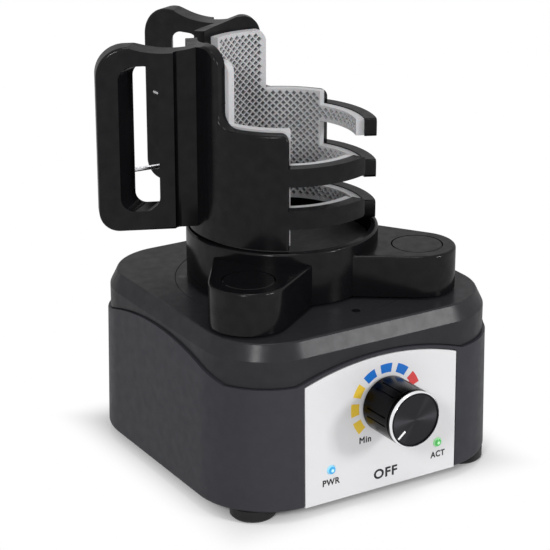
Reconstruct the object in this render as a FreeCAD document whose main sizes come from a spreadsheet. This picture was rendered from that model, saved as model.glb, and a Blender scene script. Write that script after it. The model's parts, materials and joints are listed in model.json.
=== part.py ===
"""Nail polish shaker: a motor base with an orbiting head that clamps a bottle.

Millimetres, +Z up, +X right, the control panel faces -Y. The origin is the centre of the
base on the table. The head orbits without turning: an eccentric hub drives its main bearing
and three idler cranks hold its angle. Two sprung jaws with loop handles share one hinge pin.
"""
import FreeCAD, Part
import math
import os
import re

import Sketcher

# Driving dimensions in millimetres and degrees.
SIZES = {
    # base shell
    "foot_height": 3.9, "foot_radius": 7.3, "foot_place": 40.0, "foot_round": 0.8,
    "foot_peg_radius": 2.5, "foot_barb_radius": 3.1, "foot_barb_height": 2.0,
    "casing_width": 105.0, "casing_corner": 24.8, "casing_draft": 1.03, "casing_wall": 3.0,
    "casing_bottom_round": 1.2, "cavity_corner": 21.8,
    "seam_height": 45.0, "seam_gap": 0.3,
    "side_arch_half": 38.0, "side_arch_rise": 7.0,
    "front_arch_half": 31.0, "front_arch_rise": 5.3,
    "cover_thickness": 2.4, "cover_gap": 0.3, "peg_gap": 0.05,
    # lid
    "lid_inset": 1.7, "lid_shoulder": 53.8, "lid_top": 59.0, "lid_bevel": 2.5,
    "lid_round": 0.9, "lid_thickness": 2.5,
    "skirt_gap": 0.25, "skirt_thickness": 1.6, "skirt_bottom": 41.5,
    # case screws and their bosses
    "case_screw_x": 43.5, "case_screw_y": 17.0, "boss_radius": 4.2, "boss_gap": 0.3,
    "case_boss_top": 40.0, "rib_thickness": 1.6,
    "screw_radius": 1.45, "screw_hole_gap": 0.25, "pilot_gap": 0.05,
    "screw_head_radius": 3.0, "screw_head_height": 1.4, "screw_length": 44.0,
    # control panel in the front wall
    "panel_width": 56.7, "panel_bottom": 0.16, "panel_corner": 40.5, "panel_peak": 45.2,
    "panel_thickness": 1.2, "panel_reveal": 0.35,
    "dial_x": 1.55, "dial_up": 28.97,
    "power_inset": 9.49, "power_up": 10.96, "active_inset": 6.74, "active_up": 10.51,
    "lamp_radius": 1.5, "lamp_gap": 0.1, "lamp_dome": 0.9, "lamp_depth": 5.0,
    "lamp_flange": 1.9, "lead_radius": 0.3, "lead_spacing": 1.27,
    # potentiometer and knob
    "pot_radius": 8.2, "pot_front": 3.1, "pot_depth": 7.5,
    "bushing_radius": 3.5, "bushing_reach": 3.2, "bushing_gap": 0.1,
    "shaft_radius": 3.0, "shaft_gap": 0.05, "shaft_reach": 12.5,
    "pot_nut_flats": 10.0, "pot_nut_height": 1.9,
    "knob_radius": 9.2, "knob_gap": 0.5, "knob_reach": 16.2, "knob_skirt_inner": 7.4,
    "knob_socket_depth": 7.0, "knob_collar_width": 0.5, "knob_collar_depth": 0.35,
    "knob_collar_back": 1.9, "ring_thickness": 1.0, "ring_land": 0.55,
    "face_depth": 0.8, "face_sink": 0.25,
    "pointer_from": 4.8, "pointer_margin": 0.05, "pointer_width": 0.75, "pointer_depth": 0.35,
    "pointer_angle": 219.0,
    "knob_slot_pairs": 6, "knob_slot_spread": 1.4, "knob_slot_width": 0.55,
    "knob_slot_depth": 0.5, "knob_edge_round": 0.3,
    "knob_slot_from": 3.0, "knob_slot_to": 12.6,
    # control board
    "board_width": 54.0, "board_bottom": 5.0, "board_top": 40.0, "board_thickness": 1.6,
    "board_back": 12.2, "board_screw_x": 22.0, "board_screw_up": 33.5,
    "board_boss_radius": 3.0, "small_screw_radius": 1.2, "small_head_radius": 2.2,
    "small_head_height": 1.2, "small_screw_length": 7.0,
    # power inlet in the rear wall
    "inlet_x": -20.0, "inlet_height": 17.0, "inlet_body_radius": 5.2, "inlet_body_depth": 9.0,
    "inlet_barrel_radius": 3.9, "inlet_flange_radius": 5.6, "inlet_flange": 1.2,
    "inlet_bore": 2.8, "inlet_bore_depth": 8.0, "inlet_pin": 1.0, "inlet_gap": 0.15,
    "inlet_nut_flats": 10.5, "inlet_nut_height": 2.0,
    # drive: motor, bracket and plate
    "plate_radius": 39.0, "plate_bottom": 56.4, "plate_thickness": 2.55, "plate_hole": 13.6,
    "plate_gap": 0.2, "ledge_radius": 34.2, "ledge_thickness": 2.4, "ledge_wall": 2.0,
    "plate_screw_circle": 36.7,
    "bracket_radius": 32.5, "bracket_top": 51.5, "bracket_thickness": 1.5,
    "standoff_circle": 29.0, "standoff_radius": 3.0,
    "motor_radius": 12.2, "motor_bottom": 19.0, "motor_round": 1.2,
    "motor_boss_radius": 4.5, "motor_boss_height": 2.0, "motor_boss_gap": 0.3,
    "cap_height": 2.5, "cap_boss_radius": 4.0, "cap_boss_height": 1.5,
    "tab_width": 2.4, "tab_thickness": 0.5, "tab_length": 4.5, "tab_circle": 8.0,
    "motor_screw_circle": 8.0, "motor_screw_radius": 1.2, "motor_screw_length": 4.0,
    "motor_shaft_radius": 1.5, "motor_shaft_top": 60.0, "motor_shaft_below": 2.0,
    # eccentric and cranks
    "crank_radius": 4.0, "crank_angle": 145.0,
    "hub_bottom": 53.0, "hub_top": 60.4, "hub_radius": 9.0, "journal_gap": 0.03,
    "journal_rise": 0.5, "bore_gap": 0.03,
    "weight_bottom": 53.2, "weight_height": 2.8, "weight_radius": 24.0, "weight_fit": 0.03,
    "set_screw_radius": 1.5, "set_screw_length": 6.6, "set_screw_drop": 3.5,
    "bearing_outer": 11.0, "bearing_inner": 4.0, "bearing_height": 7.0,
    "bearing_race": 1.7, "bearing_shield": 0.35, "bearing_lift": 0.3, "bearing_fit": 0.02,
    # three idler cranks
    "lobe_reach": 44.5, "first_lobe": -135.0, "lobe_step": 90.0,
    "idler_pin": 2.5, "pin_gap": 0.04, "idler_arm": 4.0, "idler_arm_thickness": 2.4,
    "idler_arm_lift": 0.3, "idler_lower_end": 47.5, "idler_top_gap": 0.3,
    "bush_radius": 3.5, "bush_flange": 4.6, "bush_flange_thickness": 0.3, "bush_fit": 0.02,
    "bush_length": 7.5, "lid_boss_radius": 5.0,
    # orbiting head
    "cup_bottom": 60.0, "cup_radius": 31.2, "cup_rim": 77.5, "cup_inner": 28.8,
    "cup_wall": 2.2, "cup_floor": 70.5, "cup_floor_thickness": 2.2, "cup_round": 0.8,
    "hub_boss_radius": 13.6, "hub_boss_lift": 0.9, "relief_radius": 9.0, "relief_depth": 1.3,
    "rib_count": 6, "rib_bottom": 63.5,
    "lobe_root": 15.0, "lobe_root_radius": 17.9, "lobe_tip_radius": 12.5, "lobe_top": 73.7,
    "lobe_roof": 2.9, "lobe_wall": 2.2, "lobe_round": 0.9,
    "lobe_bush_outer": 4.0, "lobe_bush_length": 6.8, "lobe_bush_drop": 0.4,
    "lobe_boss_radius": 6.2,
    "lobe_cap_radius": 8.3, "lobe_cap_depth": 1.4, "lobe_cap_gap": 0.1, "lobe_cap_round": 0.4,
    "pad_thickness": 2.0, "pad_gap": 0.4,
    # hinge pin and spring
    "hinge_reach": 28.0, "hinge_boss_radius": 4.4, "hinge_boss_bottom": 62.0,
    "pin_radius": 2.0, "pin_fit": 0.03, "pin_bottom": 60.2, "pin_head_radius": 3.2,
    "pin_head_height": 1.5, "clip_radius": 3.4, "clip_thickness": 0.8,
    "clip_drop": 0.05, "clip_access": 0.3, "groove_depth": 0.4,
    "wire_radius": 0.7, "coil_radius": 3.4, "coil_length": 14.1, "coil_rest": 1.5,
    "coil_ease": 1.3, "coil_turns": 7, "leg_touch": 5.0, "leg_gap": 0.3,
    # jaws
    "jaw_outer": 31.0, "jaw_inner": 27.2, "jaw_lift": 0.6, "jaw_set": 3.1,
    "jaw_start": 9.0, "jaw_tall_edge": 58.8, "jaw_mid_edge": 103.8, "jaw_tip": 156.5,
    "jaw_top": 140.3, "jaw_mid": 115.3,
    "jaw_top_round": 6.0, "jaw_step_round": 5.0, "jaw_mid_round": 2.5,
    "finger_height": 6.0, "finger_gap": 0.9, "tip_round": 1.2, "edge_round": 0.9,
    "saddle_radius": 30.0, "saddle_depth": 2.2, "saddle_reach": 31.0,
    "knuckle_radius": 3.5, "knuckle_gap": 0.5, "knuckle_bore_gap": 0.06,
    "low_knuckle": 8.1, "second_knuckle": 8.8, "third_knuckle": 6.2, "high_knuckle": 7.5,
    "knuckle_between": 0.5,
    "spring_window": 17.5, "spring_clear": 0.6,
    # loop handle of each jaw
    "grip_x": 51.2, "grip_y": 33.0, "grip_angle": 21.5, "grip_thickness": 7.3,
    "grip_bottom": 80.8, "grip_top_round": 9.5, "grip_bottom_round": 6.5,
    "grip_length": 33.5, "grip_face": 24.0, "grip_hollow": 2.4, "grip_edge": 1.0,
    "slot_near": 6.8, "slot_far": 19.2, "slot_bottom": 87.3, "slot_top": 134.3,
    "slot_corner": 4.5, "slot_shift": 5.2, "slot_draft": 0.7,
    # grip pads
    "liner_thickness": 2.7, "liner_bond": 0.1, "liner_start": 17.0, "liner_tall_edge": 61.8,
    "liner_tall": 135.8, "liner_mid": 116.0, "liner_mid_edge": 105.0, "liner_tip": 154.0,
    "liner_round": 3.5, "liner_strip": 5.4, "liner_strip_lift": 0.3,
}

# Heights up the hinge: the lowest knuckle, the coil on the second one, and the highest knuckle.
LOW_STACK = "cup_rim + jaw_lift + low_knuckle"
COIL_STACK = LOW_STACK + " + knuckle_between + second_knuckle + coil_rest + wire_radius"
COIL_END = COIL_STACK + " + coil_length"
HIGH_STACK = COIL_END + " + wire_radius + coil_ease + third_knuckle + knuckle_between"

# Sizes that follow from the driving ones.
PLACES = {
    "casing_half": "casing_width / 2",
    "cavity_half": "casing_width / 2 - casing_wall",
    "cover_half": "casing_width / 2 - casing_wall - cover_gap",
    "cover_top": "foot_height + cover_thickness",
    "lid_half": "casing_width / 2 - lid_inset",
    "skirt_half": "casing_width / 2 - casing_wall - skirt_gap",
    "lid_under": "lid_top - lid_thickness",
    "screw_hole": "screw_radius + screw_hole_gap",
    "screw_start": "foot_height + screw_head_height",
    "panel_tilt": "90 - casing_draft",
    "power_x": "power_inset - panel_width / 2",
    "active_x": "panel_width / 2 - active_inset",
    "pointer_to": "knob_radius - ring_thickness - pointer_margin",
    "set_screw_height": "hub_top - set_screw_drop",
    "offset_x": "crank_radius * cos(crank_angle)",
    "offset_y": "crank_radius * sin(crank_angle)",
    "plate_top": "plate_bottom + plate_thickness",
    "bearing_bottom": "hub_top + bearing_lift",
    "bearing_top": "hub_top + bearing_lift + bearing_height",
    "journal_radius": "bearing_inner - journal_gap",
    "arm_bottom": "lid_top + bush_flange_thickness + idler_arm_lift",
    "arm_top": "lid_top + bush_flange_thickness + idler_arm_lift + idler_arm_thickness",
    "lobe_under": "lobe_top - lobe_roof",
    "lobe_bush_top": "lobe_top - lobe_roof - lobe_bush_drop",
    "jaw_bottom": "cup_rim + jaw_lift",
    "low_split": LOW_STACK,
    "coil_bottom": COIL_STACK,
    "coil_top": COIL_END,
    "high_split": HIGH_STACK,
    "high_knuckle_top": HIGH_STACK + " + high_knuckle",
    "clamp_angle": "first_lobe + 3 * lobe_step",
    "finger_pitch": "finger_height + finger_gap",
    "bearing_seat": "bearing_outer + bearing_fit",
}

doc = FreeCAD.newDocument("NailPolishShaker")
pieces = []


def led(text):
    """Gives an expression in which every size name is led by its sheet's name."""
    def lead(match):
        word = match.group(0)
        if word in SIZES:
            return "Sizes." + word
        if word in PLACES:
            return "Places." + word
        return word
    return re.sub(r"[A-Za-z_]\w*", lead, text)


def fill_sheet(name, cells, lead):
    """Makes a sheet with one named cell for each size."""
    sheet = doc.addObject("Spreadsheet::Sheet", name)
    for row, (alias, content) in enumerate(cells.items(), start=1):
        sheet.set("A%d" % row, alias)
        sheet.set("B%d" % row, lead + led(str(content)))
        sheet.setAlias("B%d" % row, alias)
    return sheet


fill_sheet("Sizes", SIZES, "")
fill_sheet("Places", PLACES, "=")
workings = doc.addObject("Spreadsheet::Sheet", "Workings")
doc.recompute()


def value(text):
    """Works out an expression of size names in one cell."""
    workings.set("A1", "=" + led(text))
    workings.recompute()
    return float(workings.get("A1"))


def point(x, y, z):
    """Shorter name for a vector."""
    return FreeCAD.Vector(x, y, z)


def polar(centre, radius, degrees, z):
    """Point at an angle round a centre (x, y)."""
    turn = math.radians(degrees)
    return point(centre[0] + radius * math.cos(turn), centre[1] + radius * math.sin(turn), z)


# Bodies with sketches.

def new_body(label):
    """Starts a body that carries its piece's name."""
    body = doc.addObject("PartDesign::Body", label)
    body.Label = label
    return body


def new_sketch(body, role, height="0"):
    """Attaches a sketch to one of the body's own planes, lifted along its normal."""
    plane = next(item for item in body.Origin.OriginFeatures if item.Role == role)
    sketch = body.newObject("Sketcher::SketchObject", body.Name + "_sketch")
    sketch.AttachmentSupport = [(plane, "")]
    sketch.MapMode = "FlatFace"
    sketch.setExpression("AttachmentOffset.Base.z", led(height))
    return sketch


def tie(sketch, kind, places, text):
    """Adds a measured constraint and binds it to the sheet."""
    index = sketch.addConstraint(Sketcher.Constraint(kind, *places, value(text)))
    sketch.setExpression("Constraints[%d]" % index, led(text))


def locate(sketch, line, end, x_text, y_text):
    """Fixes one point of a sketch by its distances from the sketch's origin."""
    for kind, axis, text in (("DistanceX", -2, x_text), ("DistanceY", -1, y_text)):
        if text == "0":
            sketch.addConstraint(Sketcher.Constraint("PointOnObject", line, end, axis))
        elif value(text) < 0:
            tie(sketch, kind, (line, end, -1, 1), "-(" + text + ")")
        else:
            tie(sketch, kind, (-1, 1, line, end), text)


def draw_outline(sketch, corners):
    """Draws a closed outline of straight lines through located corners."""
    spots = [point(value(x), value(y), 0) for x, y in corners]
    lines = []
    for index, spot in enumerate(spots):
        following = spots[(index + 1) % len(spots)]
        lines.append(sketch.addGeometry(Part.LineSegment(spot, following), False))
    for index, line in enumerate(lines):
        following = lines[(index + 1) % len(lines)]
        sketch.addConstraint(Sketcher.Constraint("Coincident", line, 2, following, 1))
    for line, (x_text, y_text) in zip(lines, corners):
        locate(sketch, line, 1, x_text, y_text)


def draw_discs(sketch, discs):
    """Draws circles, each given by its centre and radius."""
    for x_text, y_text, radius in discs:
        centre = point(value(x_text), value(y_text), 0)
        disc = sketch.addGeometry(Part.Circle(centre, point(0, 0, 1), value(radius)), False)
        tie(sketch, "Radius", (disc,), radius)
        locate(sketch, disc, 3, x_text, y_text)


def place(item, x_text="0", y_text="0", z_text="0"):
    """Binds the piece's place to the sheet."""
    for axis, text in zip("xyz", (x_text, y_text, z_text)):
        if text != "0":
            item.setExpression("Placement.Base." + axis, led(text))


def turned(label, profile, x_text="0", y_text="0"):
    """Turns a profile of (radius, height) corners about an upright axis."""
    body = new_body(label)
    sketch = new_sketch(body, "XZ_Plane")
    draw_outline(sketch, profile)
    spin = body.newObject("PartDesign::Revolution", label + "_turned")
    spin.Profile = sketch
    spin.ReferenceAxis = (sketch, ["V_Axis"])
    spin.Angle = 360
    sketch.Visibility = False
    place(body, x_text, y_text)
    return body


def padded(body, sketch, length, kind="PartDesign::Pad"):
    """Pads or pockets a sketch by a bound length."""
    feature = body.newObject(kind, body.Name + "_layer")
    feature.Profile = sketch
    feature.setExpression("Length", led(length))
    return feature


def pierced(body, discs, height="0"):
    """Drills round holes right through, both ways from a sketch at a height."""
    doc.recompute()
    sketch = new_sketch(body, "XY_Plane", height)
    draw_discs(sketch, discs)
    pocket = body.newObject("PartDesign::Pocket", body.Name + "_holes")
    pocket.Profile = sketch
    pocket.Type = "ThroughAll"
    pocket.Midplane = True
    return pocket


def grouped(label, members):
    """Joins like pieces, each a solid of its own, under one name."""
    group = doc.addObject("Part::Compound", label)
    group.Label = label
    group.Links = members
    return group


def face_wall(item, x_text="0", up_text="0", out_text="0"):
    """Stands a piece, modelled with +Z outwards, on the drafted front wall."""
    item.Placement = FreeCAD.Placement(point(0, 0, 0), FreeCAD.Rotation(point(1, 0, 0), 1))
    item.setExpression("Placement.Rotation.Angle", led("panel_tilt"))
    up_and_out = (up_text, out_text)
    item.setExpression("Placement.Base.x", led(x_text))
    item.setExpression("Placement.Base.y", led(
        "-casing_half + (%s) * sin(casing_draft) - (%s) * cos(casing_draft)" % up_and_out))
    item.setExpression("Placement.Base.z", led(
        "foot_height + (%s) * cos(casing_draft) + (%s) * sin(casing_draft)" % up_and_out))


# Solids made in code, from the same sheet.

def solid_piece(label, shape):
    """Holds a shape under the piece's name."""
    piece = doc.addObject("Part::Feature", label)
    piece.Label = label
    piece.Shape = shape
    return piece


def rounded_wire(half_x, half_y, corner, z):
    """Closed rounded rectangle at a height."""
    quarters = []
    for turn, (side_x, side_y) in enumerate(((1, 1), (-1, 1), (-1, -1), (1, -1))):
        centre = (side_x * (half_x - corner), side_y * (half_y - corner))
        quarters.append([polar(centre, corner, 90 * turn + step, z) for step in (0, 45, 90)])
    edges = []
    for index, quarter in enumerate(quarters):
        following = quarters[(index + 1) % 4][0]
        edges.append(Part.Arc(*quarter).toShape())
        edges.append(Part.LineSegment(quarter[2], following).toShape())
    return Part.Wire(edges)


def prism(wire, height):
    """Solid that stands on a flat wire."""
    return Part.Face(wire).extrude(point(0, 0, height))


def rod(radius, bottom, top, x=0.0, y=0.0):
    """Upright cylinder between two heights."""
    return Part.makeCylinder(radius, top - bottom, point(x, y, bottom))


def block(low, high):
    """Box between two corners."""
    return Part.makeBox(high[0] - low[0], high[1] - low[1], high[2] - low[2], point(*low))


def sector(inner, outer, bottom, top, start, end):
    """Part of a tube between two angles."""
    height = top - bottom
    base = point(0, 0, bottom)
    up = point(0, 0, 1)
    part = Part.makeCylinder(outer, height, base, up, end - start)
    part.rotate(point(0, 0, 0), up, start)
    return part.cut(Part.makeCylinder(inner, height, base))


def edges_where(shape, test):
    """Edges whose every sampled point passes a test."""
    found = []
    for edge in shape.Edges:
        first, last = edge.ParameterRange
        spots = [edge.valueAt(first + (last - first) * share) for share in (0.05, 0.5, 0.95)]
        if all(test(spot) for spot in spots):
            found.append(edge)
    return found


def arch(half_chord, rise, base, along_x, start, end):
    """Circle segment on a chord at a height, drawn out along X or Y."""
    spots = [(-half_chord, base), (0, base + rise), (half_chord, base)]
    if along_x:
        corners = [point(start, side, z) for side, z in spots]
        way = point(end - start, 0, 0)
    else:
        corners = [point(side, start, z) for side, z in spots]
        way = point(0, end - start, 0)
    bow = Part.Arc(*corners).toShape()
    chord = Part.LineSegment(corners[2], corners[0]).toShape()
    return Part.Face(Part.Wire([bow, chord])).extrude(way)


def below_seam(lift):
    """Everything under the seam between base and lid, raised by a lift."""
    far = value("casing_width")
    level = value("seam_height") + lift
    slab = block((-far, -far, -far), (far, far, level))
    sides = arch(value("side_arch_half"), value("side_arch_rise"), level, True, -far, far)
    rear = arch(value("side_arch_half"), value("side_arch_rise"), level, False, 0, far)
    front = arch(value("front_arch_half"), value("front_arch_rise"), level, False, -far, 0)
    return slab.multiFuse([sides, rear, front])


def stand_on_wall(shape):
    """Moves a shape, drawn with +Z outwards and +Y up, onto the front wall."""
    shape.Placement = FreeCAD.Placement(
        point(0, -value("casing_half"), value("foot_height")),
        FreeCAD.Rotation(point(1, 0, 0), value("panel_tilt")))
    return shape


def panel_shape(grow, bottom, depth):
    """Panel's arched outline, grown by a reveal and cut inwards to a depth."""
    half = value("panel_width") / 2 + grow
    corner = value("panel_corner") + grow
    low_left = point(-half, bottom, 0)
    low_right = point(half, bottom, 0)
    high_right = point(half, corner, 0)
    high_left = point(-half, corner, 0)
    peak = point(0, value("panel_peak") + grow, 0)
    wire = Part.Wire([
        Part.LineSegment(low_left, low_right).toShape(),
        Part.LineSegment(low_right, high_right).toShape(),
        Part.Arc(high_right, peak, high_left).toShape(),
        Part.LineSegment(high_left, low_left).toShape(),
    ])
    return Part.Face(wire).extrude(point(0, 0, -depth))


def wall_rod(radius, x, up, bottom, top):
    """Cylinder square to the front wall, between two distances out from it."""
    return stand_on_wall(Part.makeCylinder(radius, top - bottom, point(x, up, bottom)))


def corner_spots():
    """The four places of the case screws."""
    x = value("case_screw_x")
    y = value("case_screw_y")
    return [(x, y), (-x, y), (-x, -y), (x, -y)]


def make_lower_casing():
    """Drafted tub with arched edges, screw bosses, panel recess and wall holes."""
    half = value("casing_half")
    corner = value("casing_corner")
    bottom = value("foot_height")
    rise = value("seam_height + side_arch_rise") + 1.0 - bottom
    lean = rise * math.tan(math.radians(value("casing_draft")))
    outer = Part.makeLoft([
        rounded_wire(half, half, corner, bottom),
        rounded_wire(half - lean, half - lean, corner - lean, bottom + rise),
    ], True, True)
    outer = outer.makeFillet(
        value("casing_bottom_round"), edges_where(outer, lambda spot: spot.z < bottom + 0.01))
    inner = value("cavity_half")
    cavity = prism(rounded_wire(inner, inner, value("cavity_corner"), bottom - 1), rise + 2)
    shell = outer.common(below_seam(0)).cut(cavity)
    boss = value("boss_radius")
    floor = value("cover_top + boss_gap")
    top = value("case_boss_top")
    rib = value("rib_thickness") / 2
    added = []
    for x, y in corner_spots():
        added.append(rod(boss, floor, top, x, y))
        wall = math.copysign(inner + 1, x)
        added.append(block((min(x, wall), y - rib, floor), (max(x, wall), y + rib, top)))
    back = -value("board_back - board_thickness")
    for side in (-1, 1):
        added.append(wall_rod(value("board_boss_radius"), side * value("board_screw_x"),
                              value("board_screw_up"), back, -value("panel_thickness") - 0.5))
    shell = shell.multiFuse(added).removeSplitter()
    holes = [rod(value("screw_hole"), floor - 1, top + 1, x, y) for x, y in corner_spots()]
    far = value("casing_wall") * 2
    holes.append(stand_on_wall(panel_shape(value("panel_reveal"), -far, value("panel_thickness"))))
    holes.append(stand_on_wall(panel_shape(value("panel_reveal"), -far, -far)))
    for x, up, radius in (
        ("dial_x", "dial_up", "bushing_radius + bushing_gap"),
        ("power_x", "power_up", "lamp_flange + lamp_gap"),
        ("active_x", "active_up", "lamp_flange + lamp_gap"),
    ):
        holes.append(wall_rod(value(radius), value(x), value(up), -far, 0))
    for side in (-1, 1):
        holes.append(wall_rod(value("small_screw_radius + pilot_gap"),
                              side * value("board_screw_x"), value("board_screw_up"),
                              back - 1, back + value("small_screw_length")))
    inlet = Part.makeCylinder(value("inlet_barrel_radius + inlet_gap"), half,
                              point(value("inlet_x"), half / 2, value("inlet_height")),
                              point(0, 1, 0))
    holes.append(inlet)
    return shell.cut(holes)


def make_upper_casing():
    """Lid with bevelled rim, inner skirt, plate ledge, crank bosses and screw posts."""
    half = value("lid_half")
    corner = value("casing_corner - lid_inset")
    low = value("skirt_bottom")
    shoulder = value("lid_shoulder")
    top = value("lid_top")
    bevel = value("lid_bevel")
    wall = prism(rounded_wire(half, half, corner, low), shoulder - low)
    cap = Part.makeLoft([
        rounded_wire(half, half, corner, shoulder),
        rounded_wire(half - bevel, half - bevel, corner - bevel, top),
    ], True, True)
    outer = wall.fuse(cap).removeSplitter()
    outer = outer.makeFillet(value("lid_round"), edges_where(
        outer, lambda spot: spot.z > shoulder - 0.01 and min(abs(spot.z - shoulder),
                                                             abs(spot.z - top)) < 0.01))
    outer = outer.cut(below_seam(value("seam_gap")))
    skirt_half = value("skirt_half")
    skirt_corner = value("cavity_corner - skirt_gap")
    under = value("lid_under")
    skirt = prism(rounded_wire(skirt_half, skirt_half, skirt_corner, low), under - low)
    thin = value("skirt_thickness")
    hollow = prism(rounded_wire(skirt_half - thin, skirt_half - thin, skirt_corner - thin,
                                low - 1), under - low + 1)
    lid = outer.fuse(skirt).cut(hollow)
    plate = value("plate_bottom")
    opening = value("plate_radius + plate_gap")
    ledge_low = plate - value("ledge_thickness")
    added = [rod(opening + value("ledge_wall"), ledge_low, under)]
    boss_low = top - value("bush_length") - 1
    reach = value("lobe_reach")
    spots = [polar((0, 0), reach, angle, 0) for angle in lobe_angles()]
    for spot in spots:
        added.append(rod(value("lid_boss_radius"), boss_low, under, spot.x, spot.y))
    post_low = value("case_boss_top + boss_gap")
    for x, y in corner_spots():
        added.append(rod(value("boss_radius"), post_low, under, x, y))
    lid = lid.multiFuse(added).removeSplitter()
    holes = [rod(value("ledge_radius"), low, top + 1), rod(opening, plate, top + 1)]
    for spot in spots:
        holes.append(rod(value("bush_radius + bush_fit"), boss_low - 1, top + 1, spot.x, spot.y))
    pilot = value("screw_radius + pilot_gap")
    for x, y in corner_spots():
        holes.append(rod(pilot, post_low - 1, under - 1, x, y))
    for angle in screw_angles():
        spot = polar((0, 0), value("plate_screw_circle"), angle, 0)
        holes.append(rod(value("small_screw_radius + pilot_gap"), ledge_low - 1, plate + 1,
                         spot.x, spot.y))
    return lid.cut(holes)


def lobe_angles():
    """Directions of the three lobes and idler cranks."""
    return [value("first_lobe") + value("lobe_step") * step for step in range(3)]


def screw_angles():
    """Directions of the plate's screws, clear of the lobes' own bosses."""
    return [value("first_lobe") + 45 + 120 * step for step in range(3)]


def lobe_solid(shrink, bottom, top, round_by):
    """One tapered lobe along +X: two circles and their tangent lines."""
    root = value("lobe_root")
    reach = value("lobe_reach")
    big = value("lobe_root_radius") - shrink
    small = value("lobe_tip_radius") - shrink
    lean = math.degrees(math.acos((big - small) / (reach - root)))
    root_spots = [polar((root, 0), big, angle, bottom) for angle in (lean, 180, -lean)]
    tip_spots = [polar((reach, 0), small, angle, bottom) for angle in (-lean, 0, lean)]
    wire = Part.Wire([
        Part.Arc(*root_spots).toShape(),
        Part.LineSegment(root_spots[2], tip_spots[0]).toShape(),
        Part.Arc(*tip_spots).toShape(),
        Part.LineSegment(tip_spots[2], root_spots[0]).toShape(),
    ])
    lobe = prism(wire, top - bottom)
    if round_by:
        lobe = lobe.makeFillet(round_by, edges_where(lobe, lambda spot: spot.z > top - 0.01))
    return lobe


def make_orbit_cup():
    """Head: a cup on three hollow lobes, ribbed to its bearing boss."""
    low = value("cup_bottom")
    rim = value("cup_rim")
    floor = value("cup_floor")
    under = floor - value("cup_floor_thickness")
    up = point(0, 0, 1)
    centre = point(0, 0, 0)
    angles = lobe_angles()
    wall = rod(value("cup_radius"), low, rim)
    wall = wall.makeFillet(value("cup_round"), edges_where(wall, lambda spot: spot.z > rim - 0.01))
    lobes = []
    hollows = []
    cup = rod(value("cup_radius"), low - 1, rim)
    for angle in angles:
        lobe = lobe_solid(0, low, value("lobe_top"), value("lobe_round"))
        lobe.rotate(centre, up, angle)
        lobes.append(lobe)
        hollow = lobe_solid(value("lobe_wall"), low - 1, value("lobe_under"), 0).cut(cup)
        hollow.rotate(centre, up, angle)
        hollows.append(hollow)
    head = wall.multiFuse(lobes).removeSplitter()
    inner = value("cup_radius - cup_wall")
    hollows.append(rod(inner, low - 1, under))
    hollows.append(rod(value("cup_inner"), floor, rim + 1))
    head = head.cut(hollows)
    boss_low = value("hub_top") + value("bearing_lift")
    added = [rod(value("hub_boss_radius"), boss_low, floor)]
    hinge = polar((0, 0), value("hinge_reach"), value("clamp_angle"), 0)
    added.append(rod(value("hinge_boss_radius"), value("hinge_boss_bottom"), rim,
                     hinge.x, hinge.y))
    tips = [polar((0, 0), value("lobe_reach"), angle, 0) for angle in angles]
    bush_low = value("lobe_bush_top - lobe_bush_length")
    for tip in tips:
        added.append(rod(value("lobe_boss_radius"), bush_low, value("lobe_top") - 1.5,
                         tip.x, tip.y))
    half_rib = value("rib_thickness") / 2
    for step in range(int(value("rib_count"))):
        rib = block((value("hub_boss_radius") - 1, -half_rib, value("rib_bottom")),
                    (inner + 1, half_rib, floor - 1))
        rib.rotate(centre, up, 360 * step / value("rib_count") + value("clamp_angle") + 30)
        added.append(rib)
    head = head.multiFuse(added).removeSplitter()
    seat = value("bearing_top")
    cuts = [rod(value("bearing_seat"), low - 1, seat),
            rod(value("relief_radius"), seat - 1, seat + value("relief_depth")),
            rod(value("pin_radius + pin_fit"), low - 1, rim + 1, hinge.x, hinge.y),
            rod(value("clip_radius + clip_access"), low - 1, value("hinge_boss_bottom"),
                hinge.x, hinge.y)]
    for tip in tips:
        cuts.append(rod(value("lobe_bush_outer + bush_fit"), low - 1, value("lobe_bush_top"),
                        tip.x, tip.y))
        cuts.append(rod(value("lobe_cap_radius + lobe_cap_gap"),
                        value("lobe_top - lobe_cap_depth"), rim + 1, tip.x, tip.y))
    return head.cut(cuts)


def grip_frame(shape):
    """Moves a shape from the handle's own frame, +X outwards along its face."""
    shape.rotate(point(0, 0, 0), point(0, 0, 1), value("grip_angle"))
    shape.translate(point(value("grip_x"), value("grip_y"), 0))
    return shape


def side_wire(left, right, bottom, top, corners, y):
    """Upright rounded rectangle in XZ; corner radii start low left, then low right."""
    centres = ((left, bottom, 1, 1, 180), (right, bottom, -1, 1, 270),
               (right, top, -1, -1, 0), (left, top, 1, -1, 90))
    edges = []
    quarters = []
    for (x, z, way_x, way_z, start), radius in zip(centres, corners):
        quarters.append([
            point(x + way_x * radius + radius * math.cos(math.radians(start + step)), y,
                  z + way_z * radius + radius * math.sin(math.radians(start + step)))
            for step in (0, 45, 90)])
    for index, quarter in enumerate(quarters):
        following = quarters[(index + 1) % 4][0]
        edges.append(Part.Arc(*quarter).toShape())
        edges.append(Part.LineSegment(quarter[2], following).toShape())
    return Part.Wire(edges)


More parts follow.
